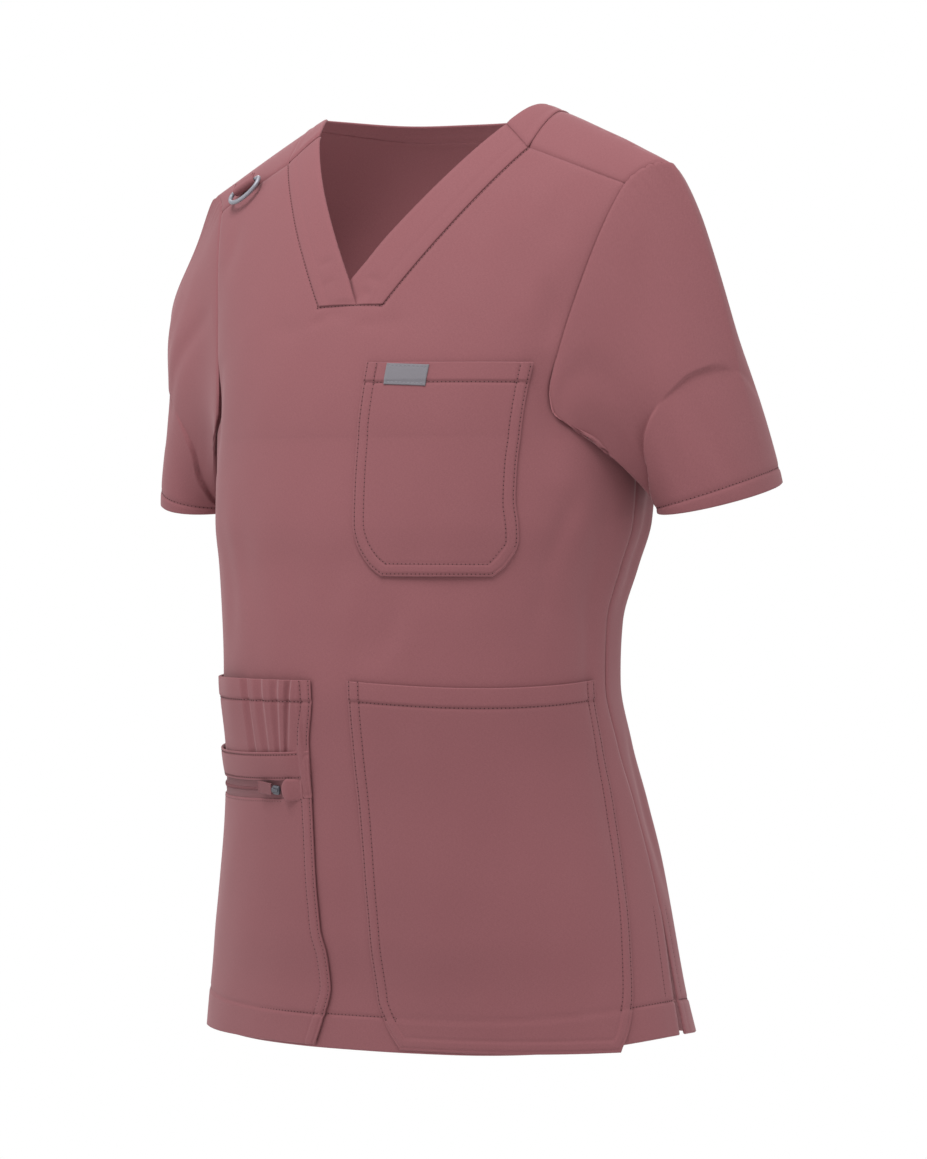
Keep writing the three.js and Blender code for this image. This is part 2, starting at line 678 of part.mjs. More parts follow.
// Outer seam of a front band, from the squared bottom to the shoulder seam
function neckSeamPlace(side, part) {
  const place = frontPlace(
    lerp(neckBottomHalf, neckSeamTop.x, part),
    lerp(neckBottomHeight, neckSeamTop.z, part),
  );
  return { turn: side * place.turn, over: part === 1 ? forwardSeam : place.over };
}

// Inner edge of a front band, up the middle first and then along the neck opening
function neckEdgePlace(side, part) {
  const up = Math.min(part / neckPointPart, 1);
  const along = Math.max((part - neckPointPart) / (1 - neckPointPart), 0);
  const z = up < 1 ? lerp(neckBottomHeight, neckPointHeight, up) : lerp(neckPointHeight, neckEdgeTop.z, along);
  const place = frontPlace(lerp(seamGap, neckEdgeTop.x, along), z);
  return { turn: side * place.turn, over: place.over };
}

// A point of the neck seam, moved by half a gap onto the body (-1) or onto the band (+1)
function neckSeamSpot(side, part, towardsBand, isTop) {
  const seam = neckSeamPlace(side, part);
  const edge = neckEdgePlace(side, part);
  const spot = bodySpot(seam.turn, seam.over - (isTop ? seamStep : 0));
  const towards = bodyPoint(edge.turn, edge.over).sub(spot.point).normalize();
  spot.point.addScaledVector(towards, (towardsBand * seamGap) / 2);
  return spot;
}

// The band has two rows for each row of the front, and the middle one lies on the straight between them
function bandSeamSpot(side, index, parts) {
  if (index % 2 === 0) return neckSeamSpot(side, index / parts, 1, index === parts);
  const before = neckSeamSpot(side, (index - 1) / parts, 1, false);
  const after = neckSeamSpot(side, (index + 1) / parts, 1, index + 1 === parts);
  before.point.lerp(after.point, 0.5);
  before.normal.add(after.normal).normalize();
  return before;
}

function makeFrontBand(name, side) {
  const parts = 2 * frontStripRows;
  const columns = bandColumns.front;
  const rows = [];
  for (let i = 0; i <= parts; i += 1) {
    const part = i / parts;
    const isTop = i === parts;
    const seam = neckSeamPlace(side, part);
    const edge = neckEdgePlace(side, part);
    const row = [];
    for (let k = 0; k <= columns; k += 1) {
      const across = k / columns;
      const over = lerp(seam.over, edge.over, across) - (isTop ? seamStep : 0) + (i === 0 ? seamStep * 2 : 0);
      const turn = lerp(seam.turn, edge.turn, across);
      const spot = k === 0 ? bandSeamSpot(side, i, parts) : bodySpot(turn, over);
      if (k === 0 && i === 0) spot.point.z += seamGap;
      spot.wall = hemCloth;
      row.push(spot);
    }
    rows.push(row);
  }
  return clothWall(name, rows, bandTwill);
}

// Back neck: the seam and the free edge, from the left shoulder seam round the back to the right one
function backNeckPlaces(half, depth, topPlace) {
  const places = [];
  const shoulderParts = 2;
  const cornerParts = backStripRows - shoulderParts;
  for (let i = 0; i < shoulderParts; i += 1) {
    const ridge = backPlace(half, ridgeY);
    const part = i / shoulderParts;
    places.push({ turn: lerp(topPlace.turn, ridge.turn, part), over: lerp(topPlace.over, 1, part) });
  }
  const angles = [];
  for (let i = 0; i < cornerParts; i += 1) angles.push((neckCornerAngle * i) / cornerParts);
  for (let i = 0; i <= neckColumns; i += 1) angles.push(lerp(neckCornerAngle, 90, i / neckColumns));
  for (const angle of angles) {
    const across = Math.max(half * Math.cos(radians(angle)), 1e-4);
    places.push(backPlace(across, ridgeY + depth * Math.sin(radians(angle))));
  }
  places[places.length - 1].turn = 0;
  const mirrored = places.slice(0, -1).reverse().map(({ turn, over }) => ({ turn: -turn, over }));
  return [...places, ...mirrored];
}

const neckSeamRound = backNeckPlaces(neckSeamHalf, neckSeamDepth, neckSeamPlace(1, 1));
const neckEdgeRound = backNeckPlaces(neckEdgeHalf, neckEdgeDepth, neckEdgePlace(1, 1));

function backNeckSpot(index, towardsBand) {
  const seam = neckSeamRound[index];
  const edge = neckEdgeRound[index];
  const isEnd = index === 0 || index === neckSeamRound.length - 1;
  const step = isEnd ? seamStep : 0;
  const spot = bodySpot(seam.turn, seam.over + step);
  const towards = bodyPoint(edge.turn, edge.over).sub(spot.point).normalize();
  spot.point.addScaledVector(towards, (towardsBand * seamGap) / 2);
  return spot;
}

function makeBackBand() {
  const columns = bandColumns.back;
  const rows = neckSeamRound.map((seam, index) => {
    const edge = neckEdgeRound[index];
    const isEnd = index === 0 || index === neckSeamRound.length - 1;
    const row = [];
    for (let k = 0; k <= columns; k += 1) {
      const over = lerp(seam.over, edge.over, k / columns) + (isEnd ? seamStep : 0);
      const spot = k === 0 ? backNeckSpot(index, 1) : bodySpot(lerp(seam.turn, edge.turn, k / columns), over);
      spot.wall = hemCloth;
      row.push(spot);
    }
    return row;
  });
  return clothWall('neckband_back', rows, bandTwill);
}

function makeBack() {
  const middle = neckColumns;
  const cornerIndex = backStripRows;
  const cornerTurn = neckSeamRound[cornerIndex].turn;
  const rows = [];
  for (const level of bottomLevels.slice(0, -1)) {
    const wall = level <= bodyHemLine ? hemCloth : cloth;
    const half = spreadColumns(cornerTurn, sideTurn(level, false), middle);
    const build = (side, turn) => bodySpot(side * turn, 2 - level, 0, wall);
    rows.push(mirroredRow(half, bodySpot(0, 2 - level, 0, wall), build));
  }
  [...backStations].reverse().forEach((over, index) => {
    const rise = index / backRows;
    const half = spreadColumns(cornerTurn, armholeTurn(over), middle);
    const last = half.length - 1;
    const isNeck = index === backRows;
    const build = (side, turn, column) => {
      const neckIndex = cornerIndex + middle - 1 - column;
      if (isNeck && column < middle) {
        const place = side > 0 ? neckIndex : neckSeamRound.length - 1 - neckIndex;
        return backNeckSpot(place, -1);
      }
      const neck = neckSeamRound[Math.max(neckIndex, cornerIndex)];
      const along = clamp((column - middle + 1) / shoulderColumns, 0, 1);
      const baseTurn = lerp(cornerTurn * Math.min((column + 1) / middle, 1), 90, along);
      const topTurn = column < middle ? neck.turn : lerp(neck.turn, armholeTurn(neckCorner.over), along);
      const plain = lerp(baseTurn, topTurn, rise);
      const edgeTurn = lerp(90, armholeTurn(neckCorner.over), rise);
      const bent = plain + (armholeTurn(over) - edgeTurn) * along * along;
      const inside = lerp(2, column < middle ? neck.over : neckCorner.over, rise);
      const level = lerp(inside, over, along * along);
      if (column < last) return bodySpot(side * bent, level);
      return armholeSpot(side, over, index === 0 ? -seamGap / 2 : 0);
    };
    const middleOver = lerp(2, neckSeamRound[cornerIndex + middle].over, rise);
    const middleSpot = isNeck ? backNeckSpot(cornerIndex + middle, -1) : bodySpot(0, middleOver);
    rows.push(mirroredRow(half, middleSpot, build));
  });
  [...backStripStations].reverse().slice(1).forEach((over, index) => {
    const seamIndex = cornerIndex - 1 - index;
    const isTop = seamIndex === 0;
    const row = new Array(middle + shoulderColumns).fill(0);
    const build = (side, ignored, column) => {
      if (column < middle - 1) return null;
      const seam = neckSeamRound[seamIndex];
      const place = side > 0 ? seamIndex : neckSeamRound.length - 1 - seamIndex;
      if (column === middle - 1) return backNeckSpot(place, -1);
      const along = (column - middle + 1) / shoulderColumns;
      const turn = lerp(seam.turn, armholeTurn(over), along);
      const level = lerp(seam.over, over, along) + (isTop ? seamStep : 0);
      if (column < row.length - 1) return bodySpot(side * turn, level);
      return armholeSpot(side, over, isTop ? seamGap / 2 : 0);
    };
    rows.push(mirroredRow(row, null, build));
  });
  return clothWall('back_body', rows, twill);
}

// A patch on the front, from an outline table, moved out from the points of the front
function makePatch(name, outline, options, material) {
  const { side, columns, liftAt, heightAt = (height) => height } = options;
  const bottom = outline[0].height;
  const top = outline[outline.length - 1].height;
  const rows = outline.map(({ height, inner, outer }) => {
    const up = (height - bottom) / (top - bottom);
    const row = [];
    for (let k = 0; k <= columns; k += 1) {
      const turn = side * lerp(inner, outer, k / columns);
      row.push(bodySpot(turn, levelAt(turn, heightAt(height, turn, up)), liftAt(k / columns, up) + cloth));
    }
    return row;
  });
  return clothWall(name, rows, material);
}

// How far a pocket stands off: most in its lower half, least where it is sewn and at its top edge
function bulge(across, up, size) {
  const sewnFoot = 0.15;
  return size * Math.sin(Math.PI * across) * Math.sin(Math.PI * Math.min(sewnFoot + (1 - sewnFoot) * up, 1));
}

function chestPocketLift(across, up) {
  return layerGap + bulge(across, up, chestPocketBulge);
}

function makeChestPocket() {
  const options = { side: 1, columns: chestPocketColumns, liftAt: chestPocketLift };
  return makePatch('chest_pocket', chestPocket, options, pocketTwill);
}

function makeHipPocket() {
  const liftAt = (across, up) => layerGap + bulge(across, up, hipPocketBulge);
  const options = { side: 1, columns: hipPocketColumns, liftAt };
  return makePatch('hip_pocket_left', hipPocket, options, pocketTwill);
}

function rightOutline(from, to, rowCount) {
  const rows = [];
  for (let i = 0; i <= rowCount; i += 1) {
    const height = lerp(from, to, i / rowCount);
    rows.push({
      height,
      inner: readTable(rightPocketEdge, 'height', height, 'inner'),
      outer: readTable(hipPocket, 'height', height, 'outer'),
    });
  }
  return rows;
}

function penGatherLift(turn, height) {
  const down = (penPocketTop - height) / (penPocketTop - zipBandTop);
  const zone = ease((turn - penZone.from) / penZone.blend) * ease((penZone.to - turn) / penZone.blend);
  const middle = (penZone.from + penZone.to) / 2;
  let trough = 0;
  for (const gather of penGathers) {
    const off = (turn - gather.turn + (gather.turn - middle) * penGatherFan * down) / gatherTurnWidth;
    trough += (gather.depth / penFullness) * Math.exp(-off * off);
  }
  return penStandOff * zone * (1 - Math.min(trough, 1)) * clamp(penFade.from - penFade.rate * down, 0, 1);
}

function makePenPocket() {
  const outline = rightOutline(penPocketBottom, penPocketTop, pocketRows);
  const rows = outline.map(({ height, inner, outer }) => {
    const row = [];
    for (let k = 0; k <= penColumns; k += 1) {
      const turn = -lerp(inner, outer, (k / penColumns) ** penColumnSpread);
      const lift = layerGap + cloth + penGatherLift(turn, height);
      row.push(bodySpot(turn, levelAt(turn, height), lift));
    }
    return row;
  });
  return clothWall('pen_pocket_right', rows, pocketTwill);
}

function zipDip(height, turn) {
  return height - zipSag * Math.sin(Math.PI * clamp(-turn / zipTurnSpan, 0, 1));
}

function makeZipPocket() {
  const heightAt = (height, turn) => zipDip(height, turn);
  const flat = () => zipLift;
  const band = makePatch(
    'zip_pocket_band',
    rightOutline(zipBandBottom + seamGap, zipBandTop, zipBandRows),
    { side: -1, columns: hipPocketColumns, liftAt: flat, heightAt },
    pocketTwill,
  );
  const body = makePatch(
    'zip_pocket_body',
    rightOutline(zipPocketFoot, zipSlotBottom - seamGap, pocketRows),
    {
      side: -1,
      columns: hipPocketColumns,
      liftAt: (across, up) => zipLift + bulge(across, up, zipPocketBulge) * (1 - up),
      heightAt: (height, turn, up) => lerp(height, zipDip(height, turn), up),
    },
    pocketTwill,
  );
  const tape = makePatch(
    'zip_tape',
    rightOutline(zipSlotBottom, zipBandBottom, 1),
    { side: -1, columns: hipPocketColumns, liftAt: flat, heightAt },
    zipTape,
  );
  return [band, body, tape];
}

// Frame that lies on the cloth at one place: across to the wearer's left, up the cloth, and out
function clothFrame(turn, over, lift) {
  const point = bodyPoint(turn, over, lift);
  const out = outward(bodyPoint, turn, over);
  const up = bodyPoint(turn, over + seamStepOver, lift).sub(bodyPoint(turn, over - seamStepOver, lift));
  const left = up.cross(out).normalize();
  return { point, left, up: out.clone().cross(left).normalize(), out };
}

function placeOn(geometry, frame) {
  const matrix = new THREE.Matrix4().makeBasis(frame.left, frame.up, frame.out).setPosition(frame.point);
  return geometry.applyMatrix4(matrix);
}

// A flat plate with rounded corners, its back face on the frame's plane
function plateShape(width, height, corner) {
  const shape = new THREE.Shape();
  const x = width / 2;
  const y = height / 2;
  shape.moveTo(-x + corner, -y);
  shape.lineTo(x - corner, -y);
  shape.absarc(x - corner, -y + corner, corner, -Math.PI / 2, 0);
  shape.lineTo(x, y - corner);
  shape.absarc(x - corner, y - corner, corner, 0, Math.PI / 2);
  shape.lineTo(-x + corner, y);
  shape.absarc(-x + corner, y - corner, corner, Math.PI / 2, Math.PI);
  shape.lineTo(-x, -y + corner);
  shape.absarc(-x + corner, -y + corner, corner, Math.PI, 1.5 * Math.PI);
  return shape;
}

function makePlate(name, frame, width, height, depth, corner, material) {
  const settings = { depth, bevelEnabled: false, curveSegments: 3 };
  const geometry = new THREE.ExtrudeGeometry(plateShape(width, height, corner), settings);
  const mesh = new THREE.Mesh(placeOn(geometry, frame), material);
  mesh.name = name;
  return mesh;
}

// A small piece that follows the cloth round its place, lifted as liftAt says
function makeWrap(name, place, size, liftAt, wall, material, roundEnd = 0) {
  const centre = bodyPoint(place.turn, levelAt(place.turn, place.height));
  const besideTurn = place.turn + 1;
  const perDegree = bodyPoint(besideTurn, levelAt(besideTurn, place.height)).distanceTo(centre);
  const tilt = radians(size.tilt);
  const rows = [];
  for (let i = 0; i <= labelRows; i += 1) {
    const row = [];
    const rise = (i / labelRows - 0.5) * size.width;
    for (let k = 0; k <= labelColumns; k += 1) {
      let along = (k / labelColumns - 0.5) * size.length;
      if (along < 0) along *= Math.sqrt(1 - (roundEnd * 2 * rise / size.width) ** 2);
      const across = along * Math.cos(tilt) - rise * Math.sin(tilt);
      const up = rise * Math.cos(tilt) + along * Math.sin(tilt);
      const turn = place.turn + across / perDegree;
      const height = place.height + up;
      row.push(bodySpot(turn, levelAt(turn, height), liftAt(turn, height) + wall, wall));
    }
    rows.push(row);
  }
  return clothWall(name, rows, material);
}

function makeLabel() {
  const bottom = chestPocket[0].height;
  const top = chestPocket[chestPocket.length - 1].height;
  const liftAt = (turn, height) => {
    const inner = readTable(chestPocket, 'height', height, 'inner');
    const outer = readTable(chestPocket, 'height', height, 'outer');
    const across = clamp((turn - inner) / (outer - inner), 0, 1);
    return chestPocketLift(across, clamp((height - bottom) / (top - bottom), 0, 1)) + cloth + labelGap;
  };
  return makeWrap('pocket_label', labelPlace, labelSize, liftAt, labelCloth, greyWeave);
}

const zipMiddleHeight = (zipBandBottom + zipSlotBottom) / 2;
const tapeTop = zipLift + cloth;

function makeZipHardware() {
  const height = zipDip(zipMiddleHeight, sliderTurn);
  const frame = clothFrame(sliderTurn, levelAt(sliderTurn, height), tapeTop + seamGap);
  const slider = makePlate(
    'zip_slider', frame, sliderSize.length, sliderSize.width, sliderSize.depth, sliderSize.corner, greyMetal,
  );
  const garagePlace = { turn: garageTurn, height: zipDip(zipMiddleHeight, garageTurn) };
  const overSlider = sliderSize.depth + 2 * seamGap;
  const garageLift = (turn) => tapeTop + seamGap + overSlider * ease((garageSewnTurn - turn) / garageRise);
  const garage = makeWrap(
    'zip_garage', garagePlace, garageSize, garageLift, cloth, pocketTwill, garageSize.roundEnd,
  );
  return [slider, garage, makePull(frame)];
}

// The pull hangs on the slider's nose and lies along the zip
function makePull(frame) {
  const lifted = { ...frame, point: frame.point.clone() };
  const middle = -(sliderSize.length / 2 + pullSize.noseGap + pullSize.length / 2);
  lifted.point.addScaledVector(frame.out, pullSize.lift).addScaledVector(frame.left, middle);
  const { length, width, depth, corner } = pullSize;
  return makePlate('zip_pull', lifted, length, width, depth, corner, zipTape);
}

// The ring: a straight bar across and a rounded bow that hangs forward of it
function ringPath() {
  const x = ringWidth / 2 - ringWire / 2;
  const y = ringDrop - ringWire / 2;
  const points = [];
  const bend = (centreX, centreY, radiusX, radiusY, from, to, steps) => {
    for (let i = 0; i <= steps; i += 1) {
      const angle = lerp(from, to, i / steps);
      const across = centreX + radiusX * Math.cos(angle);
      points.push(new THREE.Vector2(across, centreY + radiusY * Math.sin(angle)));
    }
  };
  const corner = ringCorner / 2;
  const bowTop = corner + ringSide;
  bend(x - corner, -corner, corner, corner, 0, Math.PI / 2, ringCornerSteps);
  bend(-x + corner, -corner, corner, corner, Math.PI / 2, Math.PI, ringCornerSteps);
  bend(0, -bowTop, x, y - bowTop, Math.PI, 2 * Math.PI, ringBowSteps);
  return points;
}

function makeRing(frame) {
  const path = ringPath();
  const sides = ringSides;
  const positions = [];
  const triangles = [];
  path.forEach((place, i) => {
    const before = path[(i + path.length - 1) % path.length];
    const after = path[(i + 1) % path.length];
    const along = after.clone().sub(before).normalize();
    for (let k = 0; k < sides; k += 1) {
      const angle = (2 * Math.PI * k) / sides;
      const across = (ringWire / 2) * Math.cos(angle);
      const point = frame.point
        .clone()
        .addScaledVector(frame.left, place.x - along.y * across)
        .addScaledVector(frame.up, place.y + along.x * across)
        .addScaledVector(frame.out, (ringWire / 2) * Math.sin(angle));
      positions.push(point.x, point.y, point.z);
      const next = (i + 1) % path.length;
      const a = i * sides + k;
      const b = i * sides + ((k + 1) % sides);
      const c = next * sides + ((k + 1) % sides);
      const d = next * sides + k;
      triangles.push(a, b, c, a, c, d);
    }
  });
  return solidMesh('shoulder_ring', positions, triangles, greyMetal);
}

// The loop: cloth that leaves the seam, goes round the wire and comes back under it
function makeRingLoop(frame) {
  const radius = ringWire / 2 + loopPlay;
  const sewnEnd = loopReach - loopSeam;
  const profile = [{ y: sewnEnd, n: radius }, { y: loopReach / 2, n: radius }];
  for (let i = 0; i <= loopSteps; i += 1) {
    const angle = Math.PI / 2 + (Math.PI * i) / loopSteps;
    profile.push({ y: radius * Math.cos(angle), n: radius * Math.sin(angle) });
  }
  profile.push({ y: loopReach / 2, n: -radius }, { y: sewnEnd, n: -radius });
  const rows = profile.map(({ y, n }, index) => {
    const before = profile[Math.max(index - 1, 0)];
    const after = profile[Math.min(index + 1, profile.length - 1)];
    const along = new THREE.Vector2(after.y - before.y, after.n - before.n).normalize();
    const outside = new THREE.Vector2(-along.y, along.x).multiplyScalar(-1);
    const row = [];
    for (let k = 0; k <= 2; k += 1) {
      const x = loopWidth * (k / 2 - 0.5);
      const normal = new THREE.Vector3()
        .addScaledVector(frame.up, outside.x)
        .addScaledVector(frame.out, outside.y);
      const point = frame.point
        .clone()
        .addScaledVector(frame.left, x)
        .addScaledVector(frame.up, y)
        .addScaledVector(frame.out, n)
        .addScaledVector(normal, cloth);
      row.push({ point, normal, wall: cloth });
    }
    return row;
  });
  return clothWall('ring_loop', rows, bandTwill);
}

function makeShoulderRing() {
  const frame = clothFrame(ringTurn, ringOver, layerGap + cloth + loopPlay + ringWire / 2);
  frame.point.addScaledVector(frame.up, -loopReach);
  return [makeRing(frame), makeRingLoop(frame)];
}

const top = new THREE.Group();
top.add(
  makeFront(),
  makeBack(),
  makeSleeve('sleeve_left', 1),
  makeSleeve('sleeve_right', -1),
  makeFrontBand('neckband_front_left', 1),
  makeFrontBand('neckband_front_right', -1),
  makeBackBand(),
  makeChestPocket(),
  makeLabel(),
  makeHipPocket(),
  makePenPocket(),
  ...makeZipPocket(),
  ...makeZipHardware(),
  ...makeShoulderRing(),
);

export default top;
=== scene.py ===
import math

import bpy
import numpy as np
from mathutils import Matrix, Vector
from mathutils.kdtree import KDTree


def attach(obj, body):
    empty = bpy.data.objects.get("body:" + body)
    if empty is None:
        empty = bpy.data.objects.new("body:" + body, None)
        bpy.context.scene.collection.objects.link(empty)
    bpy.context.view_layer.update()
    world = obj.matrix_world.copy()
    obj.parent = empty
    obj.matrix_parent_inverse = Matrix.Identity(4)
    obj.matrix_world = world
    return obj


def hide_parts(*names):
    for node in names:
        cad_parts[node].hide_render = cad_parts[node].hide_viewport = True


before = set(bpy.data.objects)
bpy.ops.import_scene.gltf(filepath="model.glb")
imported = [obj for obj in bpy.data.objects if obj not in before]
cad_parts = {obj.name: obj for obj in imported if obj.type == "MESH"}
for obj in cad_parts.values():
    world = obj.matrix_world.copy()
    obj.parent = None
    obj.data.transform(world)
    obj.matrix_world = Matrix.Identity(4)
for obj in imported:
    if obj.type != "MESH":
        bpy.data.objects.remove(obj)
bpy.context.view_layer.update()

# Finishes
class Wire:  # a node's output that Python's operators work on
    def __init__(self, finish, output):
        self.finish = finish
        self.output = output

    def calculate(self, operation, first, second):
        return self.finish.node("ShaderNodeMath", {"operation": operation}, {0: first, 1: second})

    def __add__(self, other):
        return self.calculate("ADD", self, other)

    def __radd__(self, other):
        return self.calculate("ADD", other, self)

    def __sub__(self, other):
        return self.calculate("SUBTRACT", self, other)

    def __rsub__(self, other):
        return self.calculate("SUBTRACT", other, self)

    def __mul__(self, other):
        return self.calculate("MULTIPLY", self, other)

    def __rmul__(self, other):
        return self.calculate("MULTIPLY", other, self)

    def __pow__(self, other):
        return self.calculate("POWER", self, other)


class Finish:
    def __init__(self, name):
        self.material = bpy.data.materials.new(name)
        self.material.use_nodes = True
        self.tree = self.material.node_tree
        self.shader = self.tree.nodes["Principled BSDF"]

    def node(self, kind, settings=None, values=None, output=0):
        made = self.tree.nodes.new(kind)
        for key, value in (settings or {}).items():
            if key == "stops":
                for index, (place, colour) in enumerate(value):
                    stop = made.color_ramp.elements[index]
                    stop.position = place
                    stop.color = (*colour, 1)
            else:
                setattr(made, key, value)
        for key, value in (values or {}).items():
            self.put(made.inputs[key], value)
        return Wire(self, made.outputs[output])

    def put(self, socket, value):
        if isinstance(value, Wire):
            self.tree.links.new(value.output, socket)
        else:
            socket.default_value = value

    def wear(self, **values):  # inputs of the shader, such as Base_Color
        for key, value in values.items():
            self.put(self.shader.inputs[key.replace("_", " ")], value)

    def noise(self, place, scale, detail=2.0, roughness=0.5):
        settings = {"noise_dimensions": "3D"}
        return self.node("ShaderNodeTexNoise", settings,
                         {"Vector": place, "Scale": scale, "Detail": detail, "Roughness": roughness})

    def mix(self, part, first, second):
        return self.node("ShaderNodeMix", {"data_type": "RGBA"}, {0: part, 6: first, 7: second}, 2)

    def stretched(self, place, scale, turn=0.0):
        mapped = {"Vector": place, "Rotation": (0, 0, turn), "Scale": scale}
        return self.node("ShaderNodeMapping", {"vector_type": "POINT"}, mapped)

    def sine(self, value):
        return self.node("ShaderNodeMath", {"operation": "SINE"}, {0: value})


twill = {
    "pitch": 0.0085,  # of the diagonal ribs, where the cloth's own map counts 100 mm as 1
    "steepness": 63,
    "colour": (0.232, 0.084, 0.094),
    "shade": (0.182, 0.063, 0.072),
    "bright": (0.285, 0.109, 0.12),
    "ribHeight": 0.00004,
    "grainHeight": 0.00009,
}


def clothFinish(name, shadeDarkening=0.0):
    finish = Finish(name)
    cloth = finish.node("ShaderNodeUVMap", {"uv_map": "cloth"})
    place = finish.node("ShaderNodeTexCoord", output=3)
    steep = math.radians(twill["steepness"])
    threads = finish.noise(finish.stretched(cloth, (60, 190, 1), steep), 1.0, 3.0, 0.6)
    cross = finish.noise(finish.stretched(cloth, (150, 40, 1), 0.1), 1.0, 2.0, 0.5)
    grain = finish.noise(cloth, 95.0, 3.0, 0.7)
    patches = finish.noise(place, 9.0, 3.0, 0.55)
    wear = finish.noise(place, 42.0, 4.0, 0.65)
    split = finish.node("ShaderNodeSeparateXYZ", None, {0: cloth})
    up = Wire(finish, split.output.node.outputs[1])
    phase = (split * math.sin(steep) + up * math.cos(steep)) * (2 * math.pi / twill["pitch"])
    rib = finish.sine(phase) * 0.5 + 0.5
    melange = threads * 0.45 + cross * 0.25 + grain * 0.3
    tone = finish.node("ShaderNodeMapRange", {"clamp": True},
                       {0: melange * 0.8 + rib * 0.06 + patches * 0.14, 1: 0.36, 2: 0.68})
    # a dimmed copy of the same cloth is painted shade
    dark = tuple(value * (1 - shadeDarkening) for value in twill["shade"]) + (1,)
    light = tuple(value * (1 - shadeDarkening) for value in twill["bright"]) + (1,)
    middle = tuple(value * (1 - shadeDarkening) for value in twill["colour"]) + (1,)
    flecked = finish.mix(tone, dark, light)
    colour = finish.mix(wear * 0.5 + 0.25, flecked, middle)
    height = rib * twill["ribHeight"] + melange * twill["grainHeight"]
    bump = finish.node("ShaderNodeBump", None, {"Strength": 0.55, "Distance": 1.0, "Height": height})
    finish.wear(Base_Color=colour, Roughness=0.76 + wear * 0.16, Normal=bump)
    finish.wear(Sheen_Weight=0.16, Sheen_Roughness=0.45, Sheen_Tint=(0.95, 0.72, 0.74, 1))
    finish.wear(Specular_IOR_Level=0.25)
    return finish.material


def plainFinish(name, colour, roughness, metallic=0.0, scale=900.0, height=0.00003):
    finish = Finish(name)
    place = finish.node("ShaderNodeTexCoord", output=3)
    fine = finish.noise(place, scale, 3.0, 0.6)
    broad = finish.noise(place, scale / 9, 3.0, 0.5)
    dark = tuple(value * 0.78 for value in colour) + (1,)
    light = tuple(min(value * 1.2, 1) for value in colour) + (1,)
    bump = finish.node("ShaderNodeBump", None, {"Strength": 0.5, "Distance": 1.0, "Height": fine * height})
    finish.wear(Base_Color=finish.mix(fine * 0.6 + broad * 0.4, dark, light), Normal=bump)
    finish.wear(Roughness=roughness - 0.1 + broad * 0.2, Metallic=metallic)
    return finish.material


def wovenFinish(name, colour, ribs):  # a woven tape or label, ribbed along its length and across
    finish = Finish(name)
    cloth = finish.node("ShaderNodeUVMap", {"uv_map": "cloth"})
    split = finish.node("ShaderNodeSeparateXYZ", None, {0: cloth})
    up = Wire(finish, split.output.node.outputs[1])
    warp = finish.sine(split * ribs) * 0.5 + 0.5
    weft = finish.sine(up * ribs) * 0.5 + 0.5
    weave = warp * weft
    fine = finish.noise(cloth, 120.0, 3.0, 0.6)
    dark = tuple(value * 0.72 for value in colour) + (1,)
    light = tuple(value * 1.16 for value in colour) + (1,)
    bump = finish.node("ShaderNodeBump", None, {"Strength": 0.7, "Distance": 1.0, "Height": weave * 0.00012})
    finish.wear(Base_Color=finish.mix(weave * 0.55 + fine * 0.45, dark, light), Normal=bump)
    finish.wear(Roughness=0.7 + fine * 0.15, Sheen_Weight=0.1)
    return finish.material


looks = {
    "twill": clothFinish("twill"),
    # the pockets' cloth is the body's cloth dimmed, as painted shade for the shade the pockets lie in; the bands'
    # cloth is dimmed a little too
    "pocket_twill": clothFinish("pocket_twill", 0.015),
    "band_twill": clothFinish("band_twill", 0.005),
    "zip_tape": wovenFinish("zip_tape", (0.19, 0.06, 0.07), 520),
    "grey_weave": wovenFinish("grey_weave", (0.185, 0.174, 0.195), 760),
    "grey_metal": plainFinish("grey_metal", (0.29, 0.295, 0.335), 0.42, 0.35),
    "slider_metal": plainFinish("slider_metal", (0.1, 0.1, 0.118), 0.36, 0.5),
    "thread": plainFinish("thread", (0.215, 0.079, 0.088), 0.62, 0.0, 2600.0),
    "label_thread": plainFinish("label_thread", (0.22, 0.21, 0.235), 0.6, 0.0, 2600.0),
    # dark dots of painted shade, for the shade inside each needle hole
    "hole_shade_dot": plainFinish("hole_shade_dot", (0.045, 0.012, 0.015), 0.95),
}
print("finishes made")


# What repeats along a line, such as a stitch: a small rounded piece at every step of the line
repeats = {
    "stitch": {"Spacing": 2.9, "Shift": 1.45, "Length": 2.1, "Width": 0.5, "Height": 0.34},
    # hole: a dark dot of painted shade at the end of each stitch
    "hole": {"Spacing": 2.9, "Shift": 0.0, "Length": 0.86, "Width": 0.92, "Height": 0.34},
}


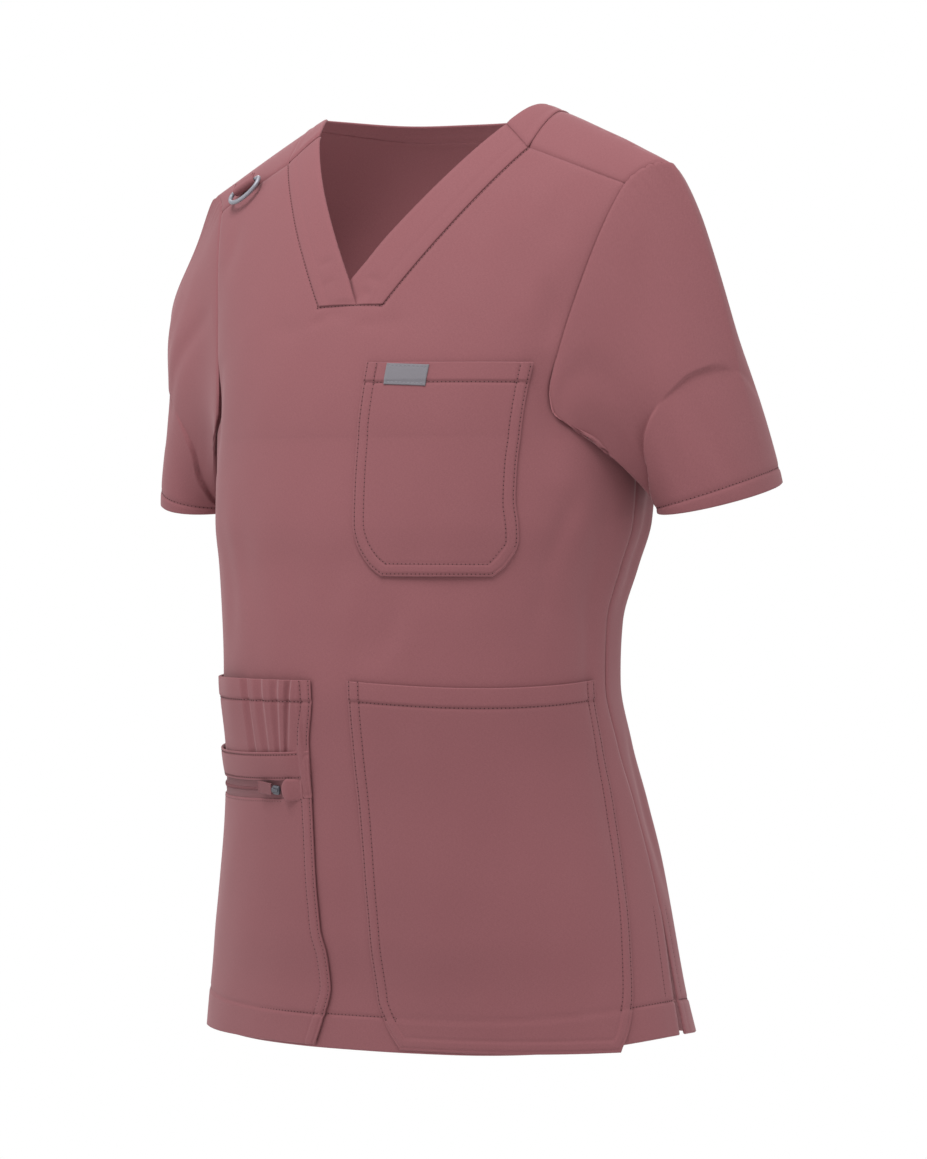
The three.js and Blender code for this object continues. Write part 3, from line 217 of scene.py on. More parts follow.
def repeatTree():
    tree = bpy.data.node_groups.new("repeat_along_lines", "GeometryNodeTree")
    tree.interface.new_socket("Geometry", in_out="INPUT", socket_type="NodeSocketGeometry")
    for size in repeats["stitch"]:
        tree.interface.new_socket(size, in_out="INPUT", socket_type="NodeSocketFloat")
    tree.interface.new_socket("Finish", in_out="INPUT", socket_type="NodeSocketMaterial")
    tree.interface.new_socket("Geometry", in_out="OUTPUT", socket_type="NodeSocketGeometry")

    def node(kind, settings=None, values=None):
        made = tree.nodes.new(kind)
        for key, value in (settings or {}).items():
            setattr(made, key, value)
        for key, value in (values or {}).items():
            if hasattr(value, "is_output"):
                tree.links.new(value, made.inputs[key])
            else:
                made.inputs[key].default_value = value
        return made

    given = node("NodeGroupInput").outputs
    lines = node("GeometryNodeMeshToCurve", None, {0: given["Geometry"]}).outputs[0]
    steps = node("GeometryNodeResampleCurve", {"mode": "LENGTH"},
                 {"Curve": lines, "Length": given["Spacing"]})
    along = node("GeometryNodeInputTangent").outputs[0]
    outwards = node("GeometryNodeInputNamedAttribute", {"data_type": "FLOAT_VECTOR"}, {"Name": "outwards"})
    turned = node("FunctionNodeAlignRotationToVector", {"axis": "X"}, {"Vector": along})
    rolled = node("FunctionNodeAlignRotationToVector", {"axis": "Z", "pivot_axis": "X"},
                  {"Rotation": turned.outputs[0], "Vector": outwards.outputs[0]})
    last = node("GeometryNodeCurveEndpointSelection", None, {"Start Size": 0, "End Size": 1})
    others = node("FunctionNodeBooleanMath", {"operation": "NOT"}, {0: last.outputs[0]})
    bead = node("GeometryNodeMeshUVSphere", None, {"Segments": 6, "Rings": 4, "Radius": 0.5})
    size = node("ShaderNodeCombineXYZ", None, {0: given["Length"], 1: given["Width"], 2: given["Height"]})
    shift = node("ShaderNodeCombineXYZ", None, {0: given["Shift"]})
    shaped = node("GeometryNodeTransform", None,
                  {"Geometry": bead.outputs[0], "Translation": shift.outputs[0], "Scale": size.outputs[0]})
    placed = node("GeometryNodeInstanceOnPoints", None,
                  {"Points": steps.outputs[0], "Selection": others.outputs[0], "Instance": shaped.outputs[0],
                   "Rotation": rolled.outputs[0]})
    real = node("GeometryNodeRealizeInstances", None, {0: placed.outputs[0]})
    smooth = node("GeometryNodeSetShadeSmooth", None, {0: real.outputs[0]})
    dressed = node("GeometryNodeSetMaterial", None, {0: smooth.outputs[0], "Material": given["Finish"]})
    result = tree.nodes.new("NodeGroupOutput")
    tree.links.new(dressed.outputs[0], result.inputs[0])
    return tree


repeating = repeatTree()


def repeatAlong(name, lines, sizes, finish):  # lines are lists of points and of outward directions, in mm
    points = np.concatenate([line[0] for line in lines]) / 1000
    outwards = np.concatenate([line[1] for line in lines])
    edges = []
    start = 0
    for line in lines:
        edges += [(start + k, start + k + 1) for k in range(len(line[0]) - 1)]
        start += len(line[0])
    mesh = bpy.data.meshes.new(name + "_lines")
    mesh.from_pydata(points.tolist(), edges, [])
    attribute = mesh.attributes.new("outwards", "FLOAT_VECTOR", "POINT")
    attribute.data.foreach_set("vector", outwards.astype(np.float32).ravel())
    source = bpy.data.objects.new(name + "_lines", mesh)
    bpy.context.scene.collection.objects.link(source)
    modifier = source.modifiers.new("repeat", "NODES")
    modifier.node_group = repeating
    inputs = (item for item in repeating.interface.items_tree if item.in_out == "INPUT")
    sockets = {item.name: item.identifier for item in inputs}
    for key, value in sizes.items():
        modifier[sockets[key]] = value / 1000
    modifier[sockets["Finish"]] = finish
    evaluated = source.evaluated_get(bpy.context.evaluated_depsgraph_get())
    made = bpy.data.meshes.new_from_object(evaluated)
    made.name = name
    piece = bpy.data.objects.new(name, made)
    bpy.context.scene.collection.objects.link(piece)
    bpy.data.objects.remove(source)
    return piece


sewnLines = []  # rows of stitches on the top


def sew(points, outwards):
    sewnLines.append((points, outwards))


# The cloth is worked out in millimetres, in the frame of the CAD part, and becomes metres in the meshes.
# A place on the top is a turn, in degrees from the middle towards the wearer's left, and how far over the
# shoulders it lies: -1 front hem, 0 front chest, 1 shoulder ridge, 2 back chest, 3 back hem.
top = {
    "cloth": 1.2,
    "hemCloth": 1.8,
    "chestHeight": -232,
    "hemHeight": -650,
    "sideHemRise": 10,
    "squareness": 2.12,
    "ridgeY": 10,
    "ridgeTop": 22,
    "ridgeSlope": 0.48,
    "ridgeRound": 60,
    "rightShoulderDrop": 12,
    "shoulderTipX": 190,
    "shoulderHalfWidth": 205,
    "frontRoundness": 1.5,
    "backRoundness": 2.2,
    "forwardSeam": 0.72,
    "sideSeamBack": 5,
    "ventTop": -0.775,
    "frontVentTurn": 3.4,
    "backVentTurn": 1.2,
    "hemLine": -0.944,
}
bodySections = {
    "height": [-652, -610, -568, -526, -484, -442, -400, -358, -320, -288, -232],
    "halfWidth": [187, 179, 171, 162, 153, 146, 144, 146, 153, 160, 163],
    "front": [118, 121, 129, 132, 130, 126, 120, 121, 128, 134, 131],
    "back": [124, 114, 112, 114, 115, 114, 113, 110, 111, 113, 112],
    "shift": [30, 28, 27, 24, 17, 6, -5, -4, 5, 12, 16],
}
armhole = {
    "over": [0, 0.03, 0.1, 0.18, 0.3, 0.45, 0.72, 0.86, 1, 1.15, 1.4, 1.6, 1.8, 1.91, 1.97, 2],
    "turn": [90, 69, 56.8, 54.8, 55.6, 56.6, 57.6, 61.5, 67, 68, 66.5, 65.5, 68, 74, 82, 90],
}


def ease(t):
    s = np.clip(t, 0, 1)
    return s * s * (3 - 2 * s)


def lerp(start, end, t):
    return start + (end - start) * t


def signedPower(value, power):
    return np.sign(value) * np.abs(value) ** power


def readTable(table, key, column, at):  # smooth between the rows of a table, without overshoot
    x = np.array(table[key], float)
    y = np.array(table[column], float)
    if x[0] > x[-1]:
        x, y = x[::-1], y[::-1]
    at = np.clip(at, x[0], x[-1])
    rate = np.diff(y) / np.diff(x)
    product = rate[:-1] * rate[1:]
    rising = product > 0
    slope = np.concatenate([rate[:1], np.zeros(len(product)), rate[-1:]])
    slope[1:-1][rising] = 2 * product[rising] / (rate[:-1] + rate[1:])[rising]
    i = np.clip(np.searchsorted(x, at, side="right") - 1, 0, len(x) - 2)
    span = x[i + 1] - x[i]
    t = (at - x[i]) / span
    fromStart = y[i] * (2 * t**3 - 3 * t**2 + 1) + slope[i] * span * (t**3 - 2 * t**2 + t)
    return fromStart + y[i + 1] * (3 * t**2 - 2 * t**3) + slope[i + 1] * span * (t**3 - t**2)


def shoulderLine(x):
    drop = np.where(x < 0, top["rightShoulderDrop"] * (x / top["shoulderTipX"]) ** 2, 0)
    return top["ridgeTop"] - top["ridgeSlope"] * (np.hypot(x, top["ridgeRound"]) - top["ridgeRound"]) - drop


def hemAt(turn):
    return top["hemHeight"] + top["sideHemRise"] * np.sin(np.radians(turn)) ** 4


def halfWidthAbove(level):
    return lerp(bodySections["halfWidth"][-1], top["shoulderHalfWidth"], ease(level))


def plainPoint(turn, over):  # the top's outer face before any fold
    turn, over = np.broadcast_arrays(np.asarray(turn, float), np.asarray(over, float))
    isFront = over <= 1
    level = np.where(isFront, over, 2 - over)
    across = signedPower(np.sin(np.radians(turn)), 2 / top["squareness"])
    ahead = signedPower(np.cos(np.radians(turn)), 2 / top["squareness"]) * np.where(isFront, 1, -1)
    down = np.minimum(level, 0)
    height = top["chestHeight"] + down * (top["chestHeight"] - hemAt(turn))
    front = readTable(bodySections, "height", "front", height)
    back = readTable(bodySections, "height", "back", height)
    baseY = readTable(bodySections, "height", "shift", height) - np.where(ahead > 0, front, back) * ahead
    up = np.maximum(level, 0)
    halfWidth = readTable(bodySections, "height", "halfWidth", height)
    x = np.where(level > 0, halfWidthAbove(up), halfWidth) * across
    power = 2 / np.where(isFront, top["frontRoundness"], top["backRoundness"])
    rise = np.sin(up * np.pi / 2) ** power
    fall = np.abs(np.cos(up * np.pi / 2)) ** power
    y = top["ridgeY"] + (baseY - top["ridgeY"]) * fall
    z = height + (shoulderLine(x) - height) * rise
    return np.stack([x, y, z], -1)


def unit(vectors):
    return vectors / np.maximum(np.linalg.norm(vectors, axis=-1, keepdims=True), 1e-9)


def outward(surface, turn, over, turnStep=0.2, overStep=0.002):
    across = surface(turn + turnStep, over) - surface(turn - turnStep, over)
    along = surface(turn, over + overStep) - surface(turn, over - overStep)
    return unit(np.cross(across, along))


# The large folds, as the CAD part has them, and the smaller creases: soft troughs along a line from one
# place to another. A line's ends are a turn and a height, and it may bow to one side.
largeFolds = [
    {"side": 1, "turn": 50, "lean": 10, "width": 5, "from": -172, "to": -262, "depth": 3.2},
    {"side": 1, "turn": -50, "lean": -10, "width": 5, "from": -172, "to": -262, "depth": 3},
    {"side": 1, "turn": 76, "lean": 6, "width": 6, "from": -238, "to": -372, "depth": 3},
    {"side": 1, "turn": -75, "lean": -7, "width": 6, "from": -238, "to": -382, "depth": 3},
    {"side": 1, "turn": 12, "lean": -3, "width": 5, "from": -330, "to": -396, "depth": 1.4},
    {"side": -1, "turn": 74, "lean": 5, "width": 6, "from": -225, "to": -372, "depth": 3.2},
    {"side": -1, "turn": -72, "lean": -6, "width": 6, "from": -225, "to": -365, "depth": 3.2},
    {"side": -1, "turn": 30, "lean": -14, "width": 7, "from": -300, "to": -440, "depth": 3},
    {"side": -1, "turn": -34, "lean": 16, "width": 7, "from": -290, "to": -430, "depth": 3},
    {"side": -1, "turn": 8, "lean": 5, "width": 6, "from": -330, "to": -470, "depth": 2.4},
    {"side": -1, "turn": 52, "lean": 4, "width": 7, "from": -470, "to": -640, "depth": 3},
    {"side": -1, "turn": -48, "lean": -5, "width": 7, "from": -480, "to": -645, "depth": 3},
]
creases = {
    # side, first turn and height, last turn and height, bow in mm, width in mm, depth in mm
    "lines": [
        (1, -8, -146, 1, -152, 2, 5, 0.9),
        (1, 6, -150, 14, -163, 3, 7, 0.7),
        (1, -24, -150, -9, -158, -3, 7, 0.6),
        (1, -11, -154, -4, -151.5, 0.5, 3, 0.75),
        (1, 2, -153, 8, -158, 1, 3.5, 0.6),
        (1, -10.5, -115, -5.4, -110, 1, 3, 0.5),
        (1, -8, -131, -4, -122, 0.8, 3, 0.4),
        (1, 2.5, -120, 6.5, -130, 1, 3, 0.6),
        (1, 1.8, -129, 5, -137, 0, 2.6, 0.5),
        (1, 20, -330, 12, -392, 5, 9, 1.3),
        (1, 4, -300, 1, -392, -4, 11, 1.0),
        (1, -14, -290, -9, -388, 6, 13, 1.1),
        (1, -32, -250, -22, -380, -8, 14, 1.2),
        (1, -48, -268, -40, -386, 8, 12, 1.4),
        (1, 58, -300, 60, -388, 7, 10, 1.3),
        (1, 68, -262, 62, -330, -5, 8, 1.5),
        (1, 80, -300, 84, -470, 6, 9, 1.7),
        (1, 84, -420, 80, -560, -7, 9, 1.4),
        (1, -60, -240, -66, -350, 6, 9, 1.4),
        (1, -82, -300, -84, -460, -6, 9, 1.6),
        (1, 1, -470, 0, -640, 4, 8, 0.9),
        (1, 45, -122, 53, -178, 4, 8, 1.5),
        (1, 40, -60, 52, -110, -5, 10, 0.9),
        (1, -44, -70, -52, -120, 5, 10, 0.9),
        (1, 30, -90, 42, -150, 6, 14, 0.8),
        (-1, 20, -60, 44, -130, 10, 16, 1.3),
        (-1, -22, -58, -46, -128, -10, 16, 1.3),
        (-1, 56, -120, 50, -210, 6, 10, 1.6),
        (-1, -58, -118, -52, -205, -6, 10, 1.6),
        (-1, 34, -180, 62, -232, 8, 10, 1.4),
        (-1, -36, -186, -64, -236, -8, 10, 1.4),
        (-1, 12, -270, 34, -330, 10, 12, 1.5),
        (-1, -10, -285, -34, -345, -9, 12, 1.6),
        (-1, 2, -330, 22, -372, 8, 10, 1.4),
        (-1, -4, -360, -26, -398, -7, 10, 1.3),
        (-1, 20, -400, 48, -428, 8, 11, 1.3),
        (-1, -16, -420, -44, -446, -8, 11, 1.3),
        (-1, 18, -470, 24, -630, 9, 15, 1.6),
        (-1, -16, -480, -20, -636, -9, 15, 1.6),
        (-1, 70, -420, 76, -560, 6, 11, 1.6),
        (-1, -70, -430, -74, -560, -6, 11, 1.5),
        (-1, 2, -500, -2, -640, 6, 14, 1.2),
    ],
    "mmPerDegree": 2.4,
    "strength": {1: 1.15, -1: 1.55},
}


def foldDepth(turn, over, height):
    side = np.where(over <= 1, 1, -1)
    depth = np.zeros(np.shape(height))
    for fold in largeFolds:
        along = (fold["from"] - height) / (fold["from"] - fold["to"])
        inside = (side == fold["side"]) & (along > 0) & (along < 1)
        off = (turn - fold["turn"] - fold["lean"] * along) / fold["width"]
        depth += np.where(inside, fold["depth"] * np.sin(np.pi * np.clip(along, 0, 1)) * np.exp(-off * off), 0)
    return depth


def creaseDepth(turn, over, height):
    side = np.where(over <= 1, 1, -1)
    depth = np.zeros(np.shape(height))
    for mark, turnA, heightA, turnB, heightB, bow, width, deep in creases["lines"]:
        spanX = (turnB - turnA) * creases["mmPerDegree"]
        spanY = heightB - heightA
        length = math.hypot(spanX, spanY)
        dx = (turn - turnA) * creases["mmPerDegree"]
        dy = height - heightA
        along = (dx * spanX + dy * spanY) / length**2
        hump = np.sin(np.pi * np.clip(along, 0, 1))
        off = ((dy * spanX - dx * spanY) / length - bow * hump) / width
        inside = (side == mark) & (along > 0) & (along < 1)
        depth += np.where(inside, deep * creases["strength"][mark] * hump**1.4 * np.exp(-off * off), 0)
    return depth


def softWaves(turn, over, height):  # the uneven lie of hanging cloth, low and wide
    a = np.radians(turn)
    side = np.where(over <= 1, 0.0, 1.9)
    low = np.sin(5.1 * a + height / 47 + side) * np.sin(height / 83 + 2.3 * a + 0.7 + side)
    fine = np.sin(13 * a - height / 29 + 1.1 + side) * np.sin(height / 37 - 7 * a + side)
    return 0.55 * low + 0.2 * fine


def solidPoint(turn, over, lift=0.0):  # as the CAD part has it
    point = plainPoint(turn, over)
    rise = lift - foldDepth(turn, over, point[..., 2])
    return point + outward(plainPoint, turn, over) * rise[..., None]


def bodyPoint(turn, over, lift=0.0):  # with the finer creases
    point = plainPoint(turn, over)
    height = point[..., 2]
    rise = lift - foldDepth(turn, over, height) - creaseDepth(turn, over, height) + softWaves(turn, over, height)
    return point + outward(plainPoint, turn, over) * rise[..., None]


stitchLift = 0.12


def sewOver(turn, over, lift):  # a row of stitches along places of the top
    turn, over = np.broadcast_arrays(np.asarray(turn, float), np.asarray(over, float))
    sew(bodyPoint(turn, over, lift + stitchLift), outward(plainPoint, turn, over))


def levelAt(turn, height):  # level of a front place, given its turn and height
    turn, height = np.broadcast_arrays(np.asarray(turn, float), np.asarray(height, float))
    below = (height - top["chestHeight"]) / (top["chestHeight"] - hemAt(turn))
    level = np.full(turn.shape, 0.2)
    across = signedPower(np.sin(np.radians(turn)), 2 / top["squareness"])
    for _ in range(10):
        x = halfWidthAbove(level) * across
        rise = np.clip((height - top["chestHeight"]) / (shoulderLine(x) - top["chestHeight"]), 0, 1)
        level = 2 / np.pi * np.arcsin(rise ** (top["frontRoundness"] / 2))
    return np.where(height <= top["chestHeight"], below, level)


def frontPlace(x, z):  # the front place that is seen at x and z from straight ahead
    rise = np.clip((z - top["chestHeight"]) / (shoulderLine(x) - top["chestHeight"]), 0, 1)
    over = 2 / np.pi * np.arcsin(rise ** (top["frontRoundness"] / 2))
    across = np.abs(x) / halfWidthAbove(over)
    return np.sign(x) * np.degrees(np.arcsin(across ** (top["squareness"] / 2))), over


def backPlace(x, y):  # the back place that is seen at x and y from straight above
    level = np.full(np.shape(x), 0.9)
    for _ in range(40):
        across = np.minimum(np.abs(x) / halfWidthAbove(level), 1)
        turn = np.sign(x) * np.degrees(np.arcsin(across ** (top["squareness"] / 2)))
        reach = bodySections["back"][-1] * np.cos(np.radians(turn)) ** (2 / top["squareness"])
        baseY = bodySections["shift"][-1] + reach
        fall = np.clip((y - top["ridgeY"]) / (baseY - top["ridgeY"]), 0, 1)
        level = 2 / np.pi * np.arccos(fall ** (top["backRoundness"] / 2))
    return turn, 2 - level


def armholeTurn(over):
    return readTable(armhole, "over", "turn", over)


def armholeStations(start, end, parts):  # places that divide a stretch of the armhole evenly
    over = np.linspace(start, end, 600)
    points = plainPoint(armholeTurn(over), over)
    lengths = np.concatenate([[0], np.cumsum(np.linalg.norm(np.diff(points, axis=0), axis=1))])
    return np.interp(np.linspace(0, lengths[-1], parts + 1), lengths, over)


def denseNear(count, marks, width, strength=4):  # steps from 0 to 1, closer together near the marks
    x = np.linspace(0, 1, 2001)
    density = 1 + sum(strength * np.exp(-(((x - mark) / width) ** 2)) for mark in marks)
    total = np.concatenate([[0], np.cumsum((density[1:] + density[:-1]) / 2)])
    return np.interp(np.linspace(0, total[-1], count + 1), total, x)


def dip(distance, depth, width):  # the groove that a row of stitches pulls into the cloth
    return -depth * np.exp(-((distance / width) ** 2))


def facesOfGrid(shape, inside, closed):
    rows, columns = shape
    ids = np.arange(rows * columns).reshape(rows, columns)
    after = np.roll(ids, -1, axis=1) if closed else ids[:, 1:]
    here = ids if closed else ids[:, :-1]
    faces = np.stack([here[:-1], after[:-1], after[1:], here[1:]], -1).reshape(-1, 4)
    if inside is not None:
        faces = faces[inside.reshape(-1)[faces].all(axis=1)]
    return faces


def vertexNormals(points, faces):
    a, b, c, d = (points[faces[:, k]] for k in range(4))
    normal = np.cross(c - a, d - b)
    total = np.zeros_like(points)
    for k in range(4):
        np.add.at(total, faces[:, k], normal)
    return unit(total)


def meshObject(name, vertices, faces, uv=None):
    mesh = bpy.data.meshes.new(name)
    mesh.from_pydata((vertices / 1000).tolist(), [], [tuple(f) for f in faces.tolist()])
    if uv is not None:
        layer = mesh.uv_layers.new(name="cloth")
        loops = np.empty(len(mesh.loops), int)
        mesh.loops.foreach_get("vertex_index", loops)
        layer.data.foreach_set("uv", uv[loops].astype(np.float32).ravel())
    mesh.shade_smooth()
    mesh.update()
    piece = bpy.data.objects.new(name, mesh)
    bpy.context.scene.collection.objects.link(piece)
    return piece


def clothUv(points, closed, inside):  # lengths along the rows and down the columns, 1 for 100 mm
    wide = np.linalg.norm(np.diff(points, axis=1), axis=-1)
    tall = np.linalg.norm(np.diff(points, axis=0), axis=-1)
    along = np.concatenate([np.zeros((len(points), 1)), np.cumsum(wide, axis=1)], axis=1)
    u = along.copy()
    middle = points.shape[1] // 2
    whole = np.ones(len(points), bool) if inside is None else inside[:, middle]
    last = np.flatnonzero(whole)[-1]
    halves = [] if closed else [(slice(0, middle), middle // 2), (slice(middle, None), middle + middle // 2)]
    for half, anchor in halves:
        offset = along[:, anchor] - along[:, middle]
        offset[last + 1:] = offset[last]
        u[:, half] = along[:, half] - along[:, [anchor]] + offset[:, None]
    v = np.concatenate([[0], np.cumsum(tall[:, points.shape[1] * 3 // 4])])
    return np.stack([u, np.broadcast_to(v[:, None], u.shape)], -1) / 100


def distanceTo(points, line):
    tree = KDTree(len(line))
    for index, place in enumerate(line):
        tree.insert(place, index)
    tree.balance()
    flat = points.reshape(-1, 3)
    return np.array([tree.find(place)[2] for place in flat]).reshape(points.shape[:-1])


def smoothLine(points, step=0.6):  # a denser copy of a line
    lengths = np.concatenate([[0], np.cumsum(np.linalg.norm(np.diff(points, axis=0), axis=1))])
    at = np.linspace(0, lengths[-1], max(int(lengths[-1] / step), 2))
    return np.stack([np.interp(at, lengths, points[:, k]) for k in range(3)], -1)


# A shell of cloth from the points of its outer face. Its inner face lies one wall inside, and a rounded
# rim joins the two. The outer face looks away from the point given as within.
def clothShell(name, points, wall, inside=None, closed=False, within=(0, 10, -300)):
    faces = facesOfGrid(points.shape[:2], inside, closed)
    uv = clothUv(points, closed, inside).reshape(-1, 2)
    flat = points.reshape(-1, 3)
    walls = np.broadcast_to(np.asarray(wall, float), points.shape[:2]).reshape(-1, 1)
    used = np.unique(faces)
    renumber = np.full(len(flat), -1)
    renumber[used] = np.arange(len(used))
    faces, flat, uv, walls = renumber[faces], flat[used], uv[used], walls[used]
    facing = np.cross(flat[faces[:, 2]] - flat[faces[:, 0]], flat[faces[:, 3]] - flat[faces[:, 1]])
    if np.sum(facing * (flat[faces[:, 0]] - np.array(within))) < 0:
        faces = faces[:, ::-1]
    normals = vertexNormals(flat, faces)
    inner = flat - normals * walls
    count = len(flat)
    edges = np.concatenate([faces[:, [k, (k + 1) % 4]] for k in range(4)])
    keys = edges[:, 0] * count + edges[:, 1]
    border = edges[~np.isin(keys, edges[:, 1] * count + edges[:, 0])]
    push = np.zeros_like(flat)
    out = np.cross(flat[border[:, 1]] - flat[border[:, 0]], normals[border[:, 0]])
    np.add.at(push, border[:, 0], out)
    np.add.at(push, border[:, 1], out)
    rim = np.unique(border)
    rimIds = np.full(count, -1)
    rimIds[rim] = 2 * count + np.arange(len(rim))
    middle = (flat[rim] + inner[rim]) / 2 + unit(push[rim]) * walls[rim] * 0.4
    a, b = border[:, 0], border[:, 1]
    outerRim = np.stack([b, a, rimIds[a], rimIds[b]], -1)
    innerRim = np.stack([rimIds[b], rimIds[a], a + count, b + count], -1)
    allFaces = np.concatenate([faces, faces[:, ::-1] + count, outerRim, innerRim])
    vertices = np.concatenate([flat, inner, middle])
    return meshObject(name, vertices, allFaces, np.concatenate([uv, uv, uv[rim]]))


neck = {
    "bottomHeight": -141,
    "bottomHalf": 26,
    "pointHeight": -124.4,
    # where each band's inner edge starts, at the bottom and at the point, from the middle to its own side
    "crossing": {1: (-3, -4.3), -1: (-4.8, 4.3)},
    "tuck": {"from": 20, "reach": 16, "depth": 1.3, "rise": 0.7, "shadow": 1.0, "shadowWidth": 1.5},
    "seamTop": (99, -33),
    "edgeTop": (78, -16),
    "seamHalf": 103,
    "edgeHalf": 91,
    "seamDepth": 70,
    "edgeDepth": 61,
    "cornerAngle": 20,
    "cornerPart": 0.14,
    "bandLength": 165,
    "endRise": 0.6,
    "endReach": 13,
}


def neckSeam(part):  # outer seam of a front band, from the squared bottom to the shoulder seam
    x = lerp(neck["bottomHalf"], neck["seamTop"][0], part)
    turn, over = frontPlace(x, lerp(neck["bottomHeight"], neck["seamTop"][1], part))
    atTop = frontPlace(*map(np.float64, neck["seamTop"]))[1]
    return turn, over + (top["forwardSeam"] - atTop) * ease((part - 0.8) / 0.2)


def neckEdge(part, side=1):  # inner edge of a front band: its crossing first, and then along the opening
    corner = neck["cornerPart"]
    along = np.clip((part - corner) / (1 - corner), 0, 1)
    low = np.clip(part / corner, 0, 1)
    start, point = neck["crossing"][side]
    x = np.where(part < corner, lerp(start, point, low), lerp(point, neck["edgeTop"][0], along))
    z = np.where(part < corner, lerp(neck["bottomHeight"], neck["pointHeight"], low),
                 lerp(neck["pointHeight"], neck["edgeTop"][1], along))
    return frontPlace(x, z)


def backNeck(half, depth, start, shoulderParts, roundParts):  # from the left shoulder seam to the middle
    ridgeTurn, _ = backPlace(np.float64(half), np.float64(top["ridgeY"]))
    part = np.arange(shoulderParts) / shoulderParts
    corner = neck["cornerAngle"]
    cornerParts = max(shoulderParts, 2)
    angle = np.concatenate([np.arange(cornerParts) / cornerParts * corner, np.linspace(corner, 90, roundParts + 1)])
    across = np.maximum(half * np.cos(np.radians(angle)), 1e-4)
    turn, over = backPlace(across, top["ridgeY"] + depth * np.sin(np.radians(angle)))
    turn[-1] = 0
    return np.concatenate([lerp(start[0], ridgeTurn, part), turn]), np.concatenate([lerp(start[1], 1, part), over])


grid = {
    "middle": 12,
    "shoulder": 60,
    "hem": 118,
    "front": 40,
    "frontStrip": 48,
    "back": 54,
    "backShoulder": 14,
    "neckRound": 34,
}
neckBottom = frontPlace(np.float64(neck["bottomHalf"]), np.float64(neck["bottomHeight"]))
neckSeamPlaces = backNeck(neck["seamHalf"], neck["seamDepth"], neckSeam(np.float64(1)), grid["backShoulder"], grid["neckRound"])
neckEdgePlaces = backNeck(neck["edgeHalf"], neck["edgeDepth"], neckEdge(np.float64(1)), grid["backShoulder"], grid["neckRound"])
cornerIndex = 2 * grid["backShoulder"]
neckCorner = (neckSeamPlaces[0][cornerIndex], neckSeamPlaces[1][cornerIndex])


def sideTurn(level, isFront):
    back = top["sideSeamBack"] * ease(-level / 0.55)
    opened = np.clip((top["ventTop"] - level) / (1 + top["ventTop"]), 0, 1)
    if isFront:
        return 90 + back - top["frontVentTurn"] * opened - 0.03
    return 90 - back - top["backVentTurn"] * opened - 0.03


def halfColumns(inner, outer, middle):  # turns of one half of a row, from beside the middle to the edge
    near = inner * np.arange(1, middle + 1) / middle
    far = lerp(inner, outer, np.arange(1, grid["shoulder"] + 1) / grid["shoulder"])
    return np.concatenate([near, far])


def hemLevels():
    return lerp(-1, 0, denseNear(grid["hem"], [0, 1 + top["hemLine"]], 0.014, 5))[:-1]


hem = {"height": 418, "groove": 0.5, "grooveWidth": 1.5, "step": 0.35}
seam = {"groove": 0.75, "width": 1.7}
vent = {"inset": 9, "groove": 0.4, "width": 1.4}


def hemRelief(level):  # the hem is two layers thick below its stitches
    distance = (level - top["hemLine"]) * hem["height"]
    return dip(distance, hem["groove"], hem["grooveWidth"]) + hem["step"] * ease(-distance / 2.5)


def mirrored(half, middle):
    return np.concatenate([half[::-1] * np.array([-1, 1]), middle, half])


def sideLine(isFront, inset=0.0):  # the side edge of a panel from the vent's top down to the hem, moved in
    level = np.linspace(0, -1, 160)
    turn = sideTurn(level, isFront) - inset / sideMmPerDegree
    return turn, level if isFront else 2 - level


sideMmPerDegree = 2.15


def panelPoints(rows, isFront, neckLine):  # rows of (turn, over) places; a missing place is not a number
    places = np.array(rows)
    turn, over = places[..., 0], places[..., 1]
    inside = ~np.isnan(turn)
    turn, over = np.where(inside, turn, 0), np.where(inside, over, 0)
    level = np.where(over <= 1, over, 2 - over)
    plain = bodyPoint(turn, over)
    sideTurns, sideOver = sideLine(isFront)
    holes = armholeStations(0, 0.72, 300) if isFront else armholeStations(0.72, 2, 400)
    relief = np.zeros(turn.shape)
    lines = [(turns, neckLine[1]) for turns in (neckLine[0], -neckLine[0])]
    lines += [(side * armholeTurn(holes), holes) for side in (1, -1)]
    lines += [(side * sideTurns[:126], sideOver[:126]) for side in (1, -1)]
    shoulder = np.linspace(neckSeam(np.float64(1))[0], armholeTurn(top["forwardSeam"]), 90)
    lines += [(side * shoulder, np.full(90, top["forwardSeam"])) for side in (1, -1)]
    if isFront:
        lines.append((np.linspace(-neckBottom[0], neckBottom[0], 60), np.full(60, neckBottom[1])))
    for lineTurn, lineOver in lines:
        line = smoothLine(bodyPoint(lineTurn, lineOver))
        relief += dip(distanceTo(plain, line), seam["groove"], seam["width"])
    below = np.clip((top["ventTop"] - level) / 0.02, 0, 1)
    ventTurn, ventOver = sideLine(isFront, vent["inset"])
    ventLine = smoothLine(bodyPoint(ventTurn, ventOver))
    mirroredLine = smoothLine(bodyPoint(-ventTurn, ventOver))
    near = np.minimum(distanceTo(plain, ventLine), distanceTo(plain, mirroredLine))
    relief += below * (dip(near, vent["groove"], vent["width"]))
    relief += hemRelief(np.minimum(level, -0.5)) * (level < -0.5)
    return bodyPoint(turn, over, relief), inside


